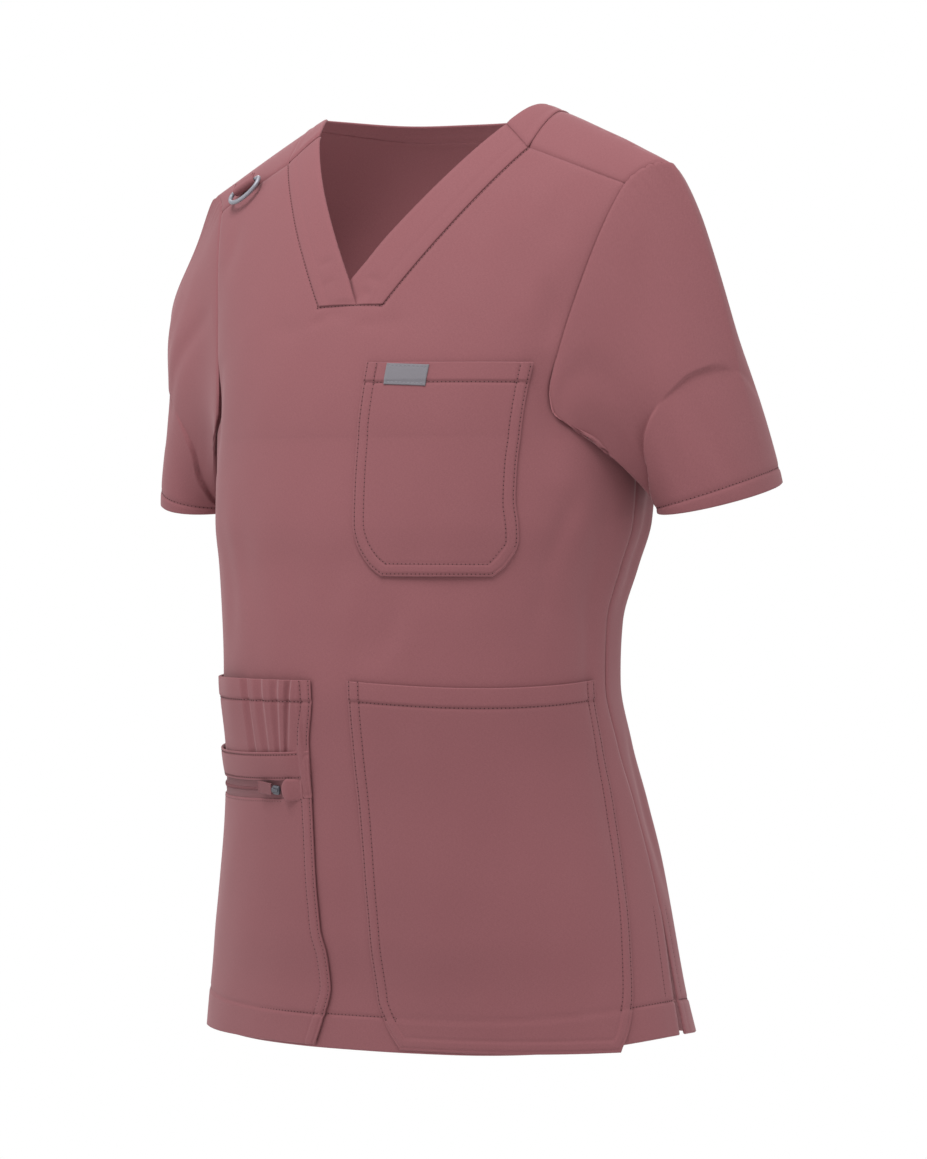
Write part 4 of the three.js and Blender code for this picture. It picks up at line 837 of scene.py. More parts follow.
def makeFront():
    middle = grid["middle"]
    rows = []
    for level in hemLevels():
        half = halfColumns(neckBottom[0], sideTurn(level, True), middle)
        rows.append(mirrored(np.stack([half, np.full(half.shape, level)], -1), [(0, level)]))
    for index, over in enumerate(armholeStations(0, neckBottom[1], grid["front"])):
        half = halfColumns(neckBottom[0], armholeTurn(over), middle)
        inner = lerp(0, neckBottom[1], index / grid["front"])
        along = np.clip((np.arange(len(half)) - middle + 1) / grid["shoulder"], 0, 1)
        rows.append(mirrored(np.stack([half, lerp(inner, over, along**2)], -1), [(0, inner)]))
    strip = armholeStations(neckBottom[1], top["forwardSeam"], grid["frontStrip"])[1:]
    for index, over in enumerate(strip):
        seam = neckSeam(np.float64((index + 1) / grid["frontStrip"]))
        along = np.arange(grid["shoulder"] + 1) / grid["shoulder"]
        near = np.stack([lerp(seam[0], armholeTurn(over), along), lerp(seam[1], over, along)], -1)
        half = np.concatenate([np.full((middle - 1, 2), np.nan), near])
        rows.append(mirrored(half, [(np.nan, np.nan)]))
    points, inside = panelPoints(rows, True, neckSeam(np.linspace(0, 1, 200)))
    wall = np.where(np.array(rows)[..., 1] <= top["hemLine"], top["hemCloth"], top["cloth"])
    return clothShell("front_panel", points, wall, inside)


def makeBack():
    middle = grid["neckRound"]
    seamTurn, seamOver = neckSeamPlaces
    rows = []
    for level in hemLevels():
        half = halfColumns(neckCorner[0], sideTurn(level, False), middle)
        rows.append(mirrored(np.stack([half, np.full(half.shape, 2 - level)], -1), [(0, 2 - level)]))
    column = np.arange(middle + grid["shoulder"])
    along = np.clip((column - middle + 1) / grid["shoulder"], 0, 1)
    neckIndex = np.maximum(cornerIndex + middle - 1 - column, cornerIndex)
    cornerEdge = armholeTurn(neckCorner[1])
    for index, over in enumerate(armholeStations(neckCorner[1], 2, grid["back"])[::-1]):
        rise = index / grid["back"]
        baseTurn = lerp(neckCorner[0] * np.minimum((column + 1) / middle, 1), 90, along)
        topTurn = lerp(seamTurn[neckIndex], cornerEdge, along)
        bent = lerp(baseTurn, topTurn, rise) + (armholeTurn(over) - lerp(90, cornerEdge, rise)) * along**2
        inner = lerp(2, seamOver[neckIndex], rise)
        half = np.stack([bent, lerp(inner, over, along**2)], -1)
        rows.append(mirrored(half, [(0, lerp(2, seamOver[-1], rise))]))
    strip = armholeStations(top["forwardSeam"], neckCorner[1], cornerIndex)[::-1][1:]
    for index, over in enumerate(strip):
        place = cornerIndex - 1 - index
        along = np.arange(grid["shoulder"] + 1) / grid["shoulder"]
        near = np.stack([lerp(seamTurn[place], armholeTurn(over), along), lerp(seamOver[place], over, along)], -1)
        rows.append(mirrored(np.concatenate([np.full((middle - 1, 2), np.nan), near]), [(np.nan, np.nan)]))
    points, inside = panelPoints(rows, False, neckSeamPlaces)
    wall = np.where(np.array(rows)[..., 1] >= 2 - top["hemLine"], top["hemCloth"], top["cloth"])
    return clothShell("back_panel", points, wall, inside)


def sewPanels():
    turns = np.linspace(-1, 1, 500)
    for isFront in (True, False):
        level = top["hemLine"]
        over = level if isFront else 2 - level
        sewOver(turns * sideTurn(level, isFront), over, -hem["groove"])
        ventTurn, ventOver = sideLine(isFront, vent["inset"])
        low = np.where(ventOver <= 1, ventOver, 2 - ventOver)
        opened = (low < top["ventTop"]) & (low > top["hemLine"] + 0.004)
        for side in (1, -1):
            sewOver(side * ventTurn[opened], ventOver[opened], -vent["groove"])
    turn, over = neckSeam(np.linspace(0.0, 1, 260))
    for side in (1, -1):
        sewOver(side * (turn + neckStitch["turn"]), over, -0.25)
    bottom = neckBottom[0] + neckStitch["turn"]
    sewOver(np.linspace(-bottom, bottom, 60), neckBottom[1] - neckStitch["over"], -0.25)


neckStitch = {"turn": 0.45, "over": 0.004}

# Sleeves
sleeve = {
    "centre": (160, 8),
    "centreHeight": {1: -138, -1: -143},
    "halfDepth": 66,
    "halfHeight": 93,
    "cuff": (209, 47, -272),
    "cuffHalfDepth": 56,
    "cuffHalfWidth": 38,
    "cuffTilt": 7,
    "cuffLean": 11,
    "leaveTop": (66, 10, -66),
    "leaveUnderarm": (20, 10, -12),
    "arriveTop": 190,
    "arriveUnderarm": 34,
    "elbow": {"out": 17, "at": 0.47, "reach": 0.17},
    "gathers": 9,
    "gatherDepth": 0.9,
    "gatherReach": 0.13,
    "hemLine": 0.942,
    "rings": 104,
    "stations": 176,
}


def sleeveAngle(side, over):
    seam = plainPoint(side * armholeTurn(over), over)
    up = (seam[..., 2] - sleeve["centreHeight"][side]) / sleeve["halfHeight"]
    angle = np.arctan2(up, (seam[..., 1] - sleeve["centre"][1]) / sleeve["halfDepth"])
    return np.where(angle < -np.pi / 2, angle + 2 * np.pi, angle)


def sleevePlain(side, over, t):
    over, t = np.broadcast_arrays(np.asarray(over, float), np.asarray(t, float))
    seam = plainPoint(side * armholeTurn(over), over)
    angle = sleeveAngle(side, over)
    upness = (1 + np.sin(angle)) / 2
    lean, tilt = math.radians(sleeve["cuffLean"]), math.radians(sleeve["cuffTilt"])
    deep = np.array([0, math.cos(lean), math.sin(lean)])
    wide = np.array([side * math.cos(tilt), 0, math.sin(tilt)])
    end = np.array(sleeve["cuff"]) * [side, 1, 1]
    end = end + np.cos(angle)[..., None] * deep * sleeve["cuffHalfDepth"]
    end = end + np.sin(angle)[..., None] * wide * sleeve["cuffHalfWidth"]
    leave = lerp(np.array(sleeve["leaveUnderarm"]), np.array(sleeve["leaveTop"]), upness[..., None])
    leave = leave * [side, 1, 1]
    reach = lerp(sleeve["arriveUnderarm"], sleeve["arriveTop"], upness)
    arrive = -side * unit(np.cross(wide, deep)) * reach[..., None]
    elbow = sleeve["elbow"]
    full = 0 if side > 0 else elbow["out"] * np.exp(-(((t - elbow["at"]) / elbow["reach"]) ** 2))
    s = t[..., None]
    point = seam * (2 * s**3 - 3 * s**2 + 1) + leave * (s**3 - 2 * s**2 + s)
    point = point + end * (3 * s**2 - 2 * s**3) + arrive * (s**3 - s**2)
    point[..., 0] += side * full * upness**2 * ease(t / elbow["reach"])
    return point


# The bent arm leaves an arch across the sleeve. Where it runs: degrees from the front and distance down
# the sleeve; sunk: how far the cloth above it sinks in; step: how far the cloth below it drops back
archFold = {
    "fromFront": (-50, -40, -32, -21, -15, -5, 11, 25, 44, 63, 75, 87, 105, 124),
    "t": (0.95, 0.88, 0.81, 0.74, 0.67, 0.627, 0.603, 0.597, 0.597, 0.613, 0.633, 0.657, 0.7, 0.75),
    "sunk": (2.5, 4.5, 5.5, 5.5, 5.0, 4.0, 2.4, 1.2, 0.6, 0.5, 0.7, 1.6, 2.6, 0),
    "step": (0, 0, 0, 0, 0.1, 0.4, 1.4, 2.4, 3.0, 3.2, 3.0, 2.2, 1.2, 0),
    "lip": 0.25,
    "above": 13,
    "below": 30,
    "edge": 2.0,
    "strength": {1: 1.0, -1: 0.5},
}


def archRelief(fromFront, t, length):
    line, sunk, step = (readTable(archFold, "fromFront", part, fromFront) for part in ("t", "sunk", "step"))
    inside = (fromFront > -50) & (fromFront < 124)
    fade = ease((fromFront + 50) / 12) * ease((124 - fromFront) / 34) * inside
    fall = (t - line) * length
    over = ease(fall / archFold["edge"])
    hollow = sunk * np.where(fall < 0, np.exp(np.minimum(fall, 0) / archFold["above"]), 1 - over)
    settle = np.exp(-np.maximum(fall, 0) / archFold["below"])
    return ((archFold["lip"] * sunk - step) * over * settle - hollow) * fade


def sleeveRelief(side, over, t):
    angle = sleeveAngle(side, over)
    fromFront = np.degrees(np.pi - angle)
    whole = sleevePlain(side, over, np.ones_like(t)) - sleevePlain(side, over, np.zeros_like(t))
    length = np.linalg.norm(whole, axis=-1)
    relief = archRelief(fromFront, t, np.maximum(length, 60)) * archFold["strength"][side]
    cap = (over - top["forwardSeam"]) / (neckCorner[1] - top["forwardSeam"])
    inCap = ease(cap / 0.15) * ease((1 - cap) / 0.15)
    wave = np.cos(2 * np.pi * sleeve["gathers"] * cap + 0.9 * np.sin(7 * cap))
    relief = relief + sleeve["gatherDepth"] * inCap * wave * np.exp(-((t / sleeve["gatherReach"]) ** 2))
    for start, end, middle, width, depth in sleeveCreases[side]:
        along = (t - start[1]) / (end[1] - start[1])
        line = lerp(start[0], end[0], along) + middle * np.sin(np.pi * np.clip(along, 0, 1))
        hump = np.where((along > 0) & (along < 1), np.sin(np.pi * np.clip(along, 0, 1)), 0)
        relief = relief - depth * hump * np.exp(-(((fromFront - line) / width) ** 2))
    fromHem = (t - sleeve["hemLine"]) * np.maximum(length, 60)
    relief = relief + dip(fromHem, 0.5, 2.2) + 0.3 * ease(fromHem / 3)
    return relief + dip(t * length, 0.5, 2.5)


sleeveCreases = {
    # first degrees from the front and distance down the sleeve, last ones, bow, width, depth
    1: [
        ((-62, 0.1), (-30, 0.75), 10, 12, 2.2),
        ((-40, 0.06), (-8, 0.5), 6, 9, 1.3),
        ((60, 0.2), (40, 0.55), -5, 14, 1.4),
        ((112, 0.25), (100, 0.8), 6, 16, 1.8),
        ((150, 0.1), (176, 0.7), -6, 14, 1.8),
        ((205, 0.12), (196, 0.8), 7, 13, 2.0),
        ((236, 0.2), (228, 0.9), 5, 12, 1.6),
        ((14, 0.62), (2, 0.97), 3, 8, 1.2),
        ((48, 0.6), (58, 0.98), -4, 9, 1.3),
    ],
    -1: [
        ((-58, 0.1), (-26, 0.8), 10, 12, 2.2),
        ((6, 0.1), (34, 0.72), 6, 9, 2.0),
        ((66, 0.3), (52, 0.7), -5, 12, 1.4),
        ((96, 0.66), (78, 0.8), 5, 26, 2.8),
        ((120, 0.25), (106, 0.8), 6, 15, 1.7),
        ((158, 0.1), (178, 0.7), -6, 14, 1.8),
        ((208, 0.12), (198, 0.8), 7, 13, 2.0),
        ((238, 0.2), (230, 0.9), 5, 12, 1.6),
    ],
}


def sleevePoint(side, over, t, lift=0.0):
    over, t = np.broadcast_arrays(np.asarray(over, float), np.asarray(t, float))
    step = 0.004
    around = sleevePlain(side, (over + step) % 2, t) - sleevePlain(side, (over - step) % 2, t)
    down = sleevePlain(side, over, t + 0.01) - sleevePlain(side, over, np.maximum(t - 0.01, 0))
    normal = -side * unit(np.cross(around, down))
    return sleevePlain(side, over, t) + normal * (sleeveRelief(side, over, t) + lift)[..., None]


def makeSleeve(name, side):
    over = armholeStations(0, 2, sleeve["stations"])[:-1]
    t = denseNear(sleeve["rings"], [0, 0.61, 0.66, sleeve["hemLine"], 1], 0.014, 5)
    points = sleevePoint(side, over[None, :], t[:, None])
    wall = np.where(t[:, None] > sleeve["hemLine"], top["hemCloth"], top["cloth"]) + 0 * over[None, :]
    if side > 0:
        points = points[:, ::-1]
    return clothShell(name, points, wall, closed=True, within=points.reshape(-1, 3).mean(axis=0))


def sewSleeve(side):
    over = np.linspace(0, 2, 500)
    t = np.full(over.shape, sleeve["hemLine"])
    points = sleevePoint(side, over, t, stitchLift)
    around = np.roll(points, -1, axis=0) - np.roll(points, 1, axis=0)
    down = sleevePoint(side, over, t + 0.02) - sleevePoint(side, over, t - 0.02)
    sew(points, -side * unit(np.cross(around, down)))


def makeFrontBand(name, side):  # the left band is tucked under the right one where they cross
    part = denseNear(110, [0, neck["cornerPart"]], 0.03)
    across = denseNear(40, [0.05, 0.3, 0.95], 0.05, 2)
    outer, inner = neckSeam(part), neckEdge(part, side)
    turn = lerp(outer[0][:, None], inner[0][:, None], across)
    over = lerp(outer[1][:, None], inner[1][:, None], across)
    lift = 0.25 * ease(across / 0.08) + dip((across - 0.3) * 33, 0.2, 2.2) + 0.35 * ease((1 - across) / 0.1)
    lift = lift + dip((1 - part[:, None]) * neck["bandLength"], seam["groove"], seam["width"])
    tuck = neck["tuck"]
    place = plainPoint(turn, over)
    x, z = place[..., 0], place[..., 2]
    atSeam = ease((z - neck["bottomHeight"]) / 5)
    if side > 0:
        bottom, point = -neck["crossing"][-1][0], -neck["crossing"][-1][1]
        line = lerp(bottom, point, (z - neck["bottomHeight"]) / (neck["pointHeight"] - neck["bottomHeight"]))
        lift = lift - tuck["depth"] * ease((tuck["from"] - x) / tuck["reach"]) * (0.4 + 0.6 * atSeam)
        lift = lift + dip(x - line, tuck["shadow"], tuck["shadowWidth"])
    else:
        lift = lift + tuck["rise"] * ease((tuck["from"] - x) / tuck["reach"]) * atSeam
    points = bodyPoint(side * turn, over, lift)
    if side > 0:
        points = points[:, ::-1]
    return clothShell(name, points, top["hemCloth"])


def makeBackBand():
    across = denseNear(16, [0.05, 0.3, 0.95], 0.05, 2)
    seamTurn, seamOver = neckSeamPlaces
    edgeTurn, edgeOver = neckEdgePlaces
    turn = lerp(seamTurn[:, None], edgeTurn[:, None], across)
    over = lerp(seamOver[:, None], edgeOver[:, None], across)
    turn = np.concatenate([turn, -turn[:-1][::-1]])
    over = np.concatenate([over, over[:-1][::-1]])
    lift = 0.25 * ease(across / 0.08) + dip((across - 0.3) * 12, 0.3, 1.6) + 0.35 * ease((1 - across) / 0.1)
    place = plainPoint(turn, over)
    fromEnd = np.minimum(*(np.linalg.norm(place - place[end], axis=-1) for end in (0, -1)))
    lift = lift + neck["endRise"] * (1 - ease(fromEnd / neck["endReach"])) + dip(fromEnd, 0.4, 1.2)
    return clothShell("neckband_behind", bodyPoint(turn, over, lift)[:, ::-1], top["hemCloth"])


# Pockets, as rows from the bottom up
chestPocket = {
    "height": [-325.5, -318, -304, -292, -272, -250, -228, -205, -182],
    "inner": [14.5, 11, 7.6, 6.4, 6, 5.8, 5.8, 6.1, 6.6],
    "outer": [45, 48.3, 50.4, 49.6, 47.9, 47.6, 48, 48.4, 48.8],
    "bulge": 1.5,
    "facing": 13,
    "sag": 0,
}
hipPocket = {
    "height": [-648, -634, -613, -590, -562, -532, -502, -472, -442, -418, -397],
    "inner": [10, 7.6, 5.6, 5.5, 5.8, 6, 6.1, 6.2, 6.2, 6.2, 6.2],
    "outer": [65.5, 69.5, 73.2, 75.3, 77.6, 80, 82.3, 84.2, 85.8, 86.6, 87],
    "bulge": 3.5,
    "facing": 13,
    "sag": 4,
}
rightPocket = {
    "height": [-650, -630, -606, -586, -567, -508, -441, -408, -396],
    "inner": [9.6, 7, 4.7, 4.8, 5.9, 6.3, 5.8, 4, 4.2],
}
pocketEdge = {"allowance": 0.35, "near": 1.5, "far": 8.4, "groove": 0.55, "grooveWidth": 1.1, "fall": 0.5}
layerGap = 0.6


def bulge(across, up, size):
    return size * np.sin(np.pi * across) * np.sin(np.pi * np.minimum(0.15 + 0.85 * up, 1))


def patchPlaces(innerTable, outerTable, low, high, across, up):
    height = lerp(low, high, up) + 0 * across
    inner = readTable(innerTable, "height", "inner", height)
    outer = readTable(outerTable, "height", "outer", height)
    return lerp(inner, outer, across), height


def edgeRelief(distance):  # of a pocket's sewn edge, where the cloth is turned under
    near, far = pocketEdge["near"], pocketEdge["far"]
    groove, width = pocketEdge["groove"], pocketEdge["grooveWidth"]
    relief = pocketEdge["allowance"] * (1 - ease((distance - far) / 1.6))
    relief = relief - pocketEdge["fall"] * (1 - ease(distance / 0.9))
    return relief + dip(distance - near, groove, width) + dip(distance - far, groove, width)


def facingRelief(height, line):  # of a pocket's mouth, folded over and sewn down along a line
    return dip(height - line, pocketEdge["groove"] * 0.8, 1.3) + 0.45 * ease((height - line) / 2)


def insetLine(turn, height, distance):  # a patch's edge line, moved in by a distance
    level = levelAt(turn, height)
    points = bodyPoint(turn, level)
    along = unit(np.gradient(points, axis=0))
    inward = np.cross(outward(plainPoint, turn, level), along)
    centre = points.mean(axis=0)
    inward *= np.sign(np.sum(inward * (centre - points)))
    across = plainPoint(turn + 0.5, level) - plainPoint(turn - 0.5, level)
    rise = plainPoint(turn, levelAt(turn, height + 1)) - plainPoint(turn, levelAt(turn, height - 1))
    movedTurn = turn + distance * np.sum(inward * across, -1) / np.sum(across**2, -1)
    movedHeight = height + distance * 2 * np.sum(inward * rise, -1) / np.sum(rise**2, -1)
    moved = bodyPoint(movedTurn, levelAt(movedTurn, movedHeight))
    clear = distanceTo(moved, smoothLine(points)) > distance * 0.95
    return movedTurn[clear], movedHeight[clear]


def sewPatch(turn, height, lift):
    sewOver(turn, levelAt(turn, height), lift)


def patchEdge(turn, height):  # down the inner edge, along the foot and up the outer edge
    return (np.concatenate([turn[:0:-1, 0], turn[0], turn[1:, -1]]),
            np.concatenate([height[:0:-1, 0], height[0], height[1:, -1]]))


# A pocket: its edge is turned under and sewn twice, and its mouth has a facing
def makePocket(name, table, across, up):
    low, high = table["height"][0], table["height"][-1]
    turn, height = patchPlaces(table, table, low, high, across, up)
    height = height - table["sag"] * np.sin(np.pi * across) * up**6
    lift = layerGap + top["cloth"] + bulge(across, up, table["bulge"])
    edgeTurn, edgeHeight = patchEdge(turn, height)
    level = levelAt(turn, height)
    edge = distanceTo(bodyPoint(turn, level), smoothLine(bodyPoint(edgeTurn, levelAt(edgeTurn, edgeHeight))))
    line = high - table["facing"] - table["sag"] * np.sin(np.pi * across)
    relief = edgeRelief(edge) + facingRelief(height, line) + 0.3 * ease((height - line) / 2) * (edge < 8.4)
    hemStep = hemRelief(np.minimum(level, -0.5)) * (level < -0.5)
    points = bodyPoint(turn, level, lift + relief + hemStep)
    foot = layerGap + top["cloth"] + pocketEdge["allowance"] - pocketEdge["groove"]
    for inset in (pocketEdge["near"], pocketEdge["far"]):
        rowTurn, rowHeight = insetLine(edgeTurn, edgeHeight, inset)
        rowAcross = (rowTurn - readTable(table, "height", "inner", rowHeight)) / (
            readTable(table, "height", "outer", rowHeight) - readTable(table, "height", "inner", rowHeight))
        rowAcross = np.clip(rowAcross, 0, 1)
        rowUp = np.clip((rowHeight - low) / (high - low), 0, 1)
        rowLine = high - table["facing"] - table["sag"] * np.sin(np.pi * rowAcross)
        onFacing = 0.75 * ease((rowHeight - rowLine) / 2)
        sewPatch(rowTurn, rowHeight, foot + onFacing + bulge(rowAcross, rowUp, table["bulge"]))
    row = np.linspace(0.04, 0.96, 120)
    rowUp = (high - table["facing"] - low) / (high - low)
    rowTurn, rowHeight = patchPlaces(table, table, low, high, row, rowUp)
    sewPatch(rowTurn, rowHeight - table["sag"] * np.sin(np.pi * row),
             layerGap + top["cloth"] + bulge(row, rowUp, table["bulge"]) - 0.35)
    return clothShell(name, points, top["cloth"])


def sewHemOver(innerTurn, outerTurn, lift):  # where a pocket is caught in the hem
    turn = np.linspace(innerTurn, outerTurn, 200)
    sewOver(turn, top["hemLine"], lift - hem["groove"])


def makeChestPocket():
    across = denseNear(122, [0.02, 0.09, 0.91, 0.98], 0.02, 3)[None, :]
    up = denseNear(132, [0.02, 0.09, 0.91, 1], 0.02, 3)[:, None]
    return makePocket("breast_pocket", chestPocket, across, up)


def makeHipPocket():
    across = denseNear(146, [0.01, 0.05, 0.95, 0.99], 0.015, 4)[None, :]
    up = denseNear(152, [0.01, 0.05, 0.948, 1], 0.015, 4)[:, None]
    sewHemOver(9, 67, layerGap + top["cloth"] + 0.3)
    return makePocket("left_hip_pocket", hipPocket, across, up)


penPocket = {
    "bottom": -461,
    "top": -397,
    "facing": 14,
    # turn at the mouth, turn at the zip band, and how far the cloth stands off
    "folds": [
        (-89, -89, 0),
        (-62, -58, 0.3),
        (-50, -48, 2.6),
        (-38, -37, 3.8),
        (-31, -30, 3.4),
        (-28.8, -27, 0.2),
        (-26.6, -25, 3.0),
        (-24.4, -23.2, 3.3),
        (-21.6, -20.8, 0.9),
        (-19.4, -19, 3.3),
        (-17.6, -17.6, 3.1),
        (-15.4, -16, 0.5),
        (-13, -14.6, 3.4),
        (-12, -13.8, 3.0),
        (-10.6, -13.2, 0),
        (-9, -11.4, 2.7),
        (-7.6, -9.4, 1.9),
        (-6.6, -6.8, 0.1),
        (0, 0, 0),
    ],
    "fade": (1.05, 0.5),
    "hidden": 1.12,
}
zipPocket = {
    "bandTop": -444,
    "bandBottom": -463,
    "slotBottom": -476.5,
    "sag": 4,
    "turnSpan": 86,
    "foot": -648,
    "bulge": 1,
    "lift": 2.3,
    "bandStand": 2.9,
    "endTurn": -8.7,
    "edgeStitch": 1.4,
}


def penStandOff(turn, height):
    down = np.clip((penPocket["top"] - height) / (penPocket["top"] - zipPocket["bandTop"]), 0, 1.4)
    folds = np.array(penPocket["folds"], float)
    atMouth = np.interp(turn, folds[:, 0], np.arange(len(folds)))
    place = atMouth
    for _ in range(6):  # the folds lean, so their turns shift on the way down
        here = np.interp(place, np.arange(len(folds)), folds[:, 0])
        low = np.interp(place, np.arange(len(folds)), folds[:, 1])
        place = np.interp(turn - (low - here) * down, folds[:, 0], np.arange(len(folds)))
    index = np.clip(np.floor(place).astype(int), 0, len(folds) - 2)
    part = ease(place - index)
    stand = lerp(folds[index, 2], folds[index + 1, 2], part)
    start, rate = penPocket["fade"]
    return stand * np.clip(start - rate * down, 0, 1) * ease((penPocket["hidden"] + 0.12 - down) / 0.12)


def makePenPocket():
    across = denseNear(230, [0.02, 0.1, 0.25], 0.08, 4)[None, :]
    up = denseNear(74, [0.78, 1], 0.05, 3)[:, None]
    turn, height = patchPlaces(rightPocket, hipPocket, penPocket["bottom"], penPocket["top"], across, up)
    turn = -turn
    level = levelAt(turn, height)
    innerTurn, innerHeight = turn[:, 0], height[:, 0]
    edge = distanceTo(bodyPoint(turn, level), smoothLine(bodyPoint(innerTurn, levelAt(innerTurn, innerHeight))))
    line = penPocket["top"] - penPocket["facing"]
    relief = edgeRelief(edge) + facingRelief(height, line)
    base = layerGap + top["cloth"]
    points = bodyPoint(turn, level, base + penStandOff(turn, height) + relief)
    foot = base + pocketEdge["allowance"] - pocketEdge["groove"]
    above = innerHeight > zipPocket["bandTop"]
    for inset in (pocketEdge["near"], pocketEdge["far"]):
        rowTurn, rowHeight = insetLine(innerTurn[above][::-1], innerHeight[above][::-1], inset)
        onFacing = 0.45 * ease((rowHeight - line) / 2)
        sewPatch(-np.abs(rowTurn), rowHeight, foot + onFacing + penStandOff(-np.abs(rowTurn), rowHeight))
    rowTurn = np.linspace(-84, -4.6, 300)
    sewPatch(rowTurn, np.full(300, line), base + penStandOff(rowTurn, np.full(300, line)) - 0.35)
    return clothShell("right_pen_pocket", points, top["cloth"])


def zipDip(height, turn):
    return height - zipPocket["sag"] * np.sin(np.pi * np.clip(-turn / zipPocket["turnSpan"], 0, 1))


def zipPiece(low, high, across, up, lift, dipPart=1.0, inset=True, endLow=None):
    turn, height = patchPlaces(rightPocket, hipPocket, low, high, across[None, :], up[:, None])
    turn = -turn
    if endLow is not None:
        beside = ease((turn - zipPocket["endTurn"]) / 0.7)
        height = height + (endLow - low) * beside * (1 - up[:, None])
    height = lerp(height, zipDip(height, turn), dipPart)
    level = levelAt(turn, height)
    relief = 0
    if inset:
        line = smoothLine(bodyPoint(turn[:, 0], level[:, 0]))
        relief = edgeRelief(distanceTo(bodyPoint(turn, level), line))
    return turn, height, level, lift + relief


zipTape = {"lift": -0.9, "hump": 0.5}


def bandStand(turn, up):  # the gathers push the band's upper edge off the pocket
    inEnd = ease((-turn - 7) / 6)
    return zipPocket["bandStand"] * (0.25 + 0.75 * up) * inEnd


def makeZipPocket():
    across = denseNear(124, [0.01, 0.05, 0.97], 0.03, 4)
    base = zipPocket["lift"]
    flat = base + 0 * across[None, :]
    stitch = zipPocket["edgeStitch"]
    up = denseNear(36, [0.09, 0.91], 0.06, 2)
    turn, height, level, lift = zipPiece(
        zipPocket["bandBottom"], zipPocket["bandTop"], across, up, flat, endLow=zipPocket["slotBottom"] + 0.4)
    tall = zipPocket["bandTop"] - zipPocket["bandBottom"]
    for place in (stitch, tall - stitch):
        lift = lift + dip((up[:, None] - place / tall) * tall, 0.4, 1.0)
    lift = lift + 0.35 * np.sin(np.pi * up[:, None]) + bandStand(turn, up[:, None])
    band = clothShell("zip_band", bodyPoint(turn, level, lift), top["cloth"])
    rowTurn = np.linspace(-84, -6.4, 260)
    for place in (stitch, tall - stitch):
        stand = bandStand(rowTurn, place / tall)
        sewPatch(rowTurn, zipDip(zipPocket["bandBottom"] + place, rowTurn), base - 0.25 + stand)

    up = denseNear(136, [0, 0.01, 0.1, 1], 0.03, 3)
    puff = flat + bulge(across[None, :], up[:, None], zipPocket["bulge"]) * (1 - up[:, None])
    turn, height, level, lift = zipPiece(
        zipPocket["foot"], zipPocket["slotBottom"], across, up, puff, up[:, None])
    lift = lift + hemRelief(np.minimum(level, -0.5)) * (level < -0.5)
    body = clothShell("zip_pocket_front", bodyPoint(turn, level, lift), top["cloth"])
    for inset in (pocketEdge["near"], pocketEdge["far"]):
        rowTurn, rowHeight = insetLine(turn[::-1, 0], height[::-1, 0], inset)
        sewPatch(rowTurn, rowHeight, base + pocketEdge["allowance"] - pocketEdge["groove"])
    sewHemOver(-66, -7.5, base + 0.3)
    rowTurn = np.linspace(-84, -15.5, 240)
    sewPatch(rowTurn, zipDip(zipPocket["slotBottom"] - stitch, rowTurn), base - 0.2)

    up = np.linspace(0, 1, 30)
    turn, height, level, lift = zipPiece(
        zipPocket["slotBottom"], zipPocket["bandBottom"], across, up, flat, inset=False)
    lift = lift + zipTape["lift"] + zipTape["hump"] * np.exp(-(((up[:, None] - 0.5) / 0.16) ** 2))
    tape = clothShell("zip_tapes", bodyPoint(turn, level, lift), top["cloth"] * 0.6)
    return band, body, tape


def makeZipCoil():  # the zip's coil, from the side seam to the slider
    turn = np.linspace(-84, slider["turn"] - 0.8, 400)
    height = zipDip(zipMiddle + zipCoil["rise"], turn)
    level = levelAt(turn, height)
    points = bodyPoint(turn, level, zipPocket["lift"] + zipCoil["lift"])
    row = (points, outward(plainPoint, turn, level))
    return repeatAlong("zip_coil", [row], zipCoil["sizes"], looks["zip_tape"])


zipCoil = {"rise": 0.3, "lift": -0.35,
           "sizes": {"Spacing": 1.15, "Shift": 0.5, "Length": 0.95, "Width": 3.0, "Height": 1.1}}

# Label, garage, slider, pull
label = {"turn": 17, "height": -190, "length": 30, "width": 14, "tilt": -2.5, "cloth": 0.7}
slider = {"turn": -17.4, "length": 7, "width": 6.5, "depth": 2.4}
pull = {"length": 14, "width": 8, "depth": 1.2, "noseGap": 0.45, "lift": 0.6, "tape": 0.45}
garage = {"turn": -11.6, "length": 16.5, "width": 15, "tilt": 0, "roundEnd": 0.86,
          "sewnTurn": -9.2, "rise": 4}
seamGap = 0.3
zipMiddle = (zipPocket["bandBottom"] + zipPocket["slotBottom"]) / 2


# of a small piece laid on the cloth, as parts from 0 to 1
def wrapPlaces(place, size, across, up, roundEnd=0.0):
    turn0, height0 = place
    centre = bodyPoint(np.float64(turn0), levelAt(turn0, height0))
    beside = bodyPoint(np.float64(turn0 + 1), levelAt(turn0 + 1, height0))
    perDegree = np.linalg.norm(beside - centre)
    tilt = math.radians(size["tilt"])
    rise = (up - 0.5) * size["width"] + 0 * across
    along = (across - 0.5) * size["length"] + 0 * up
    along = np.where(along < 0, along * np.sqrt(1 - (roundEnd * 2 * rise / size["width"]) ** 2), along)
    turn = turn0 + (along * math.cos(tilt) - rise * math.sin(tilt)) / perDegree
    return turn, height0 + rise * math.cos(tilt) + along * math.sin(tilt)


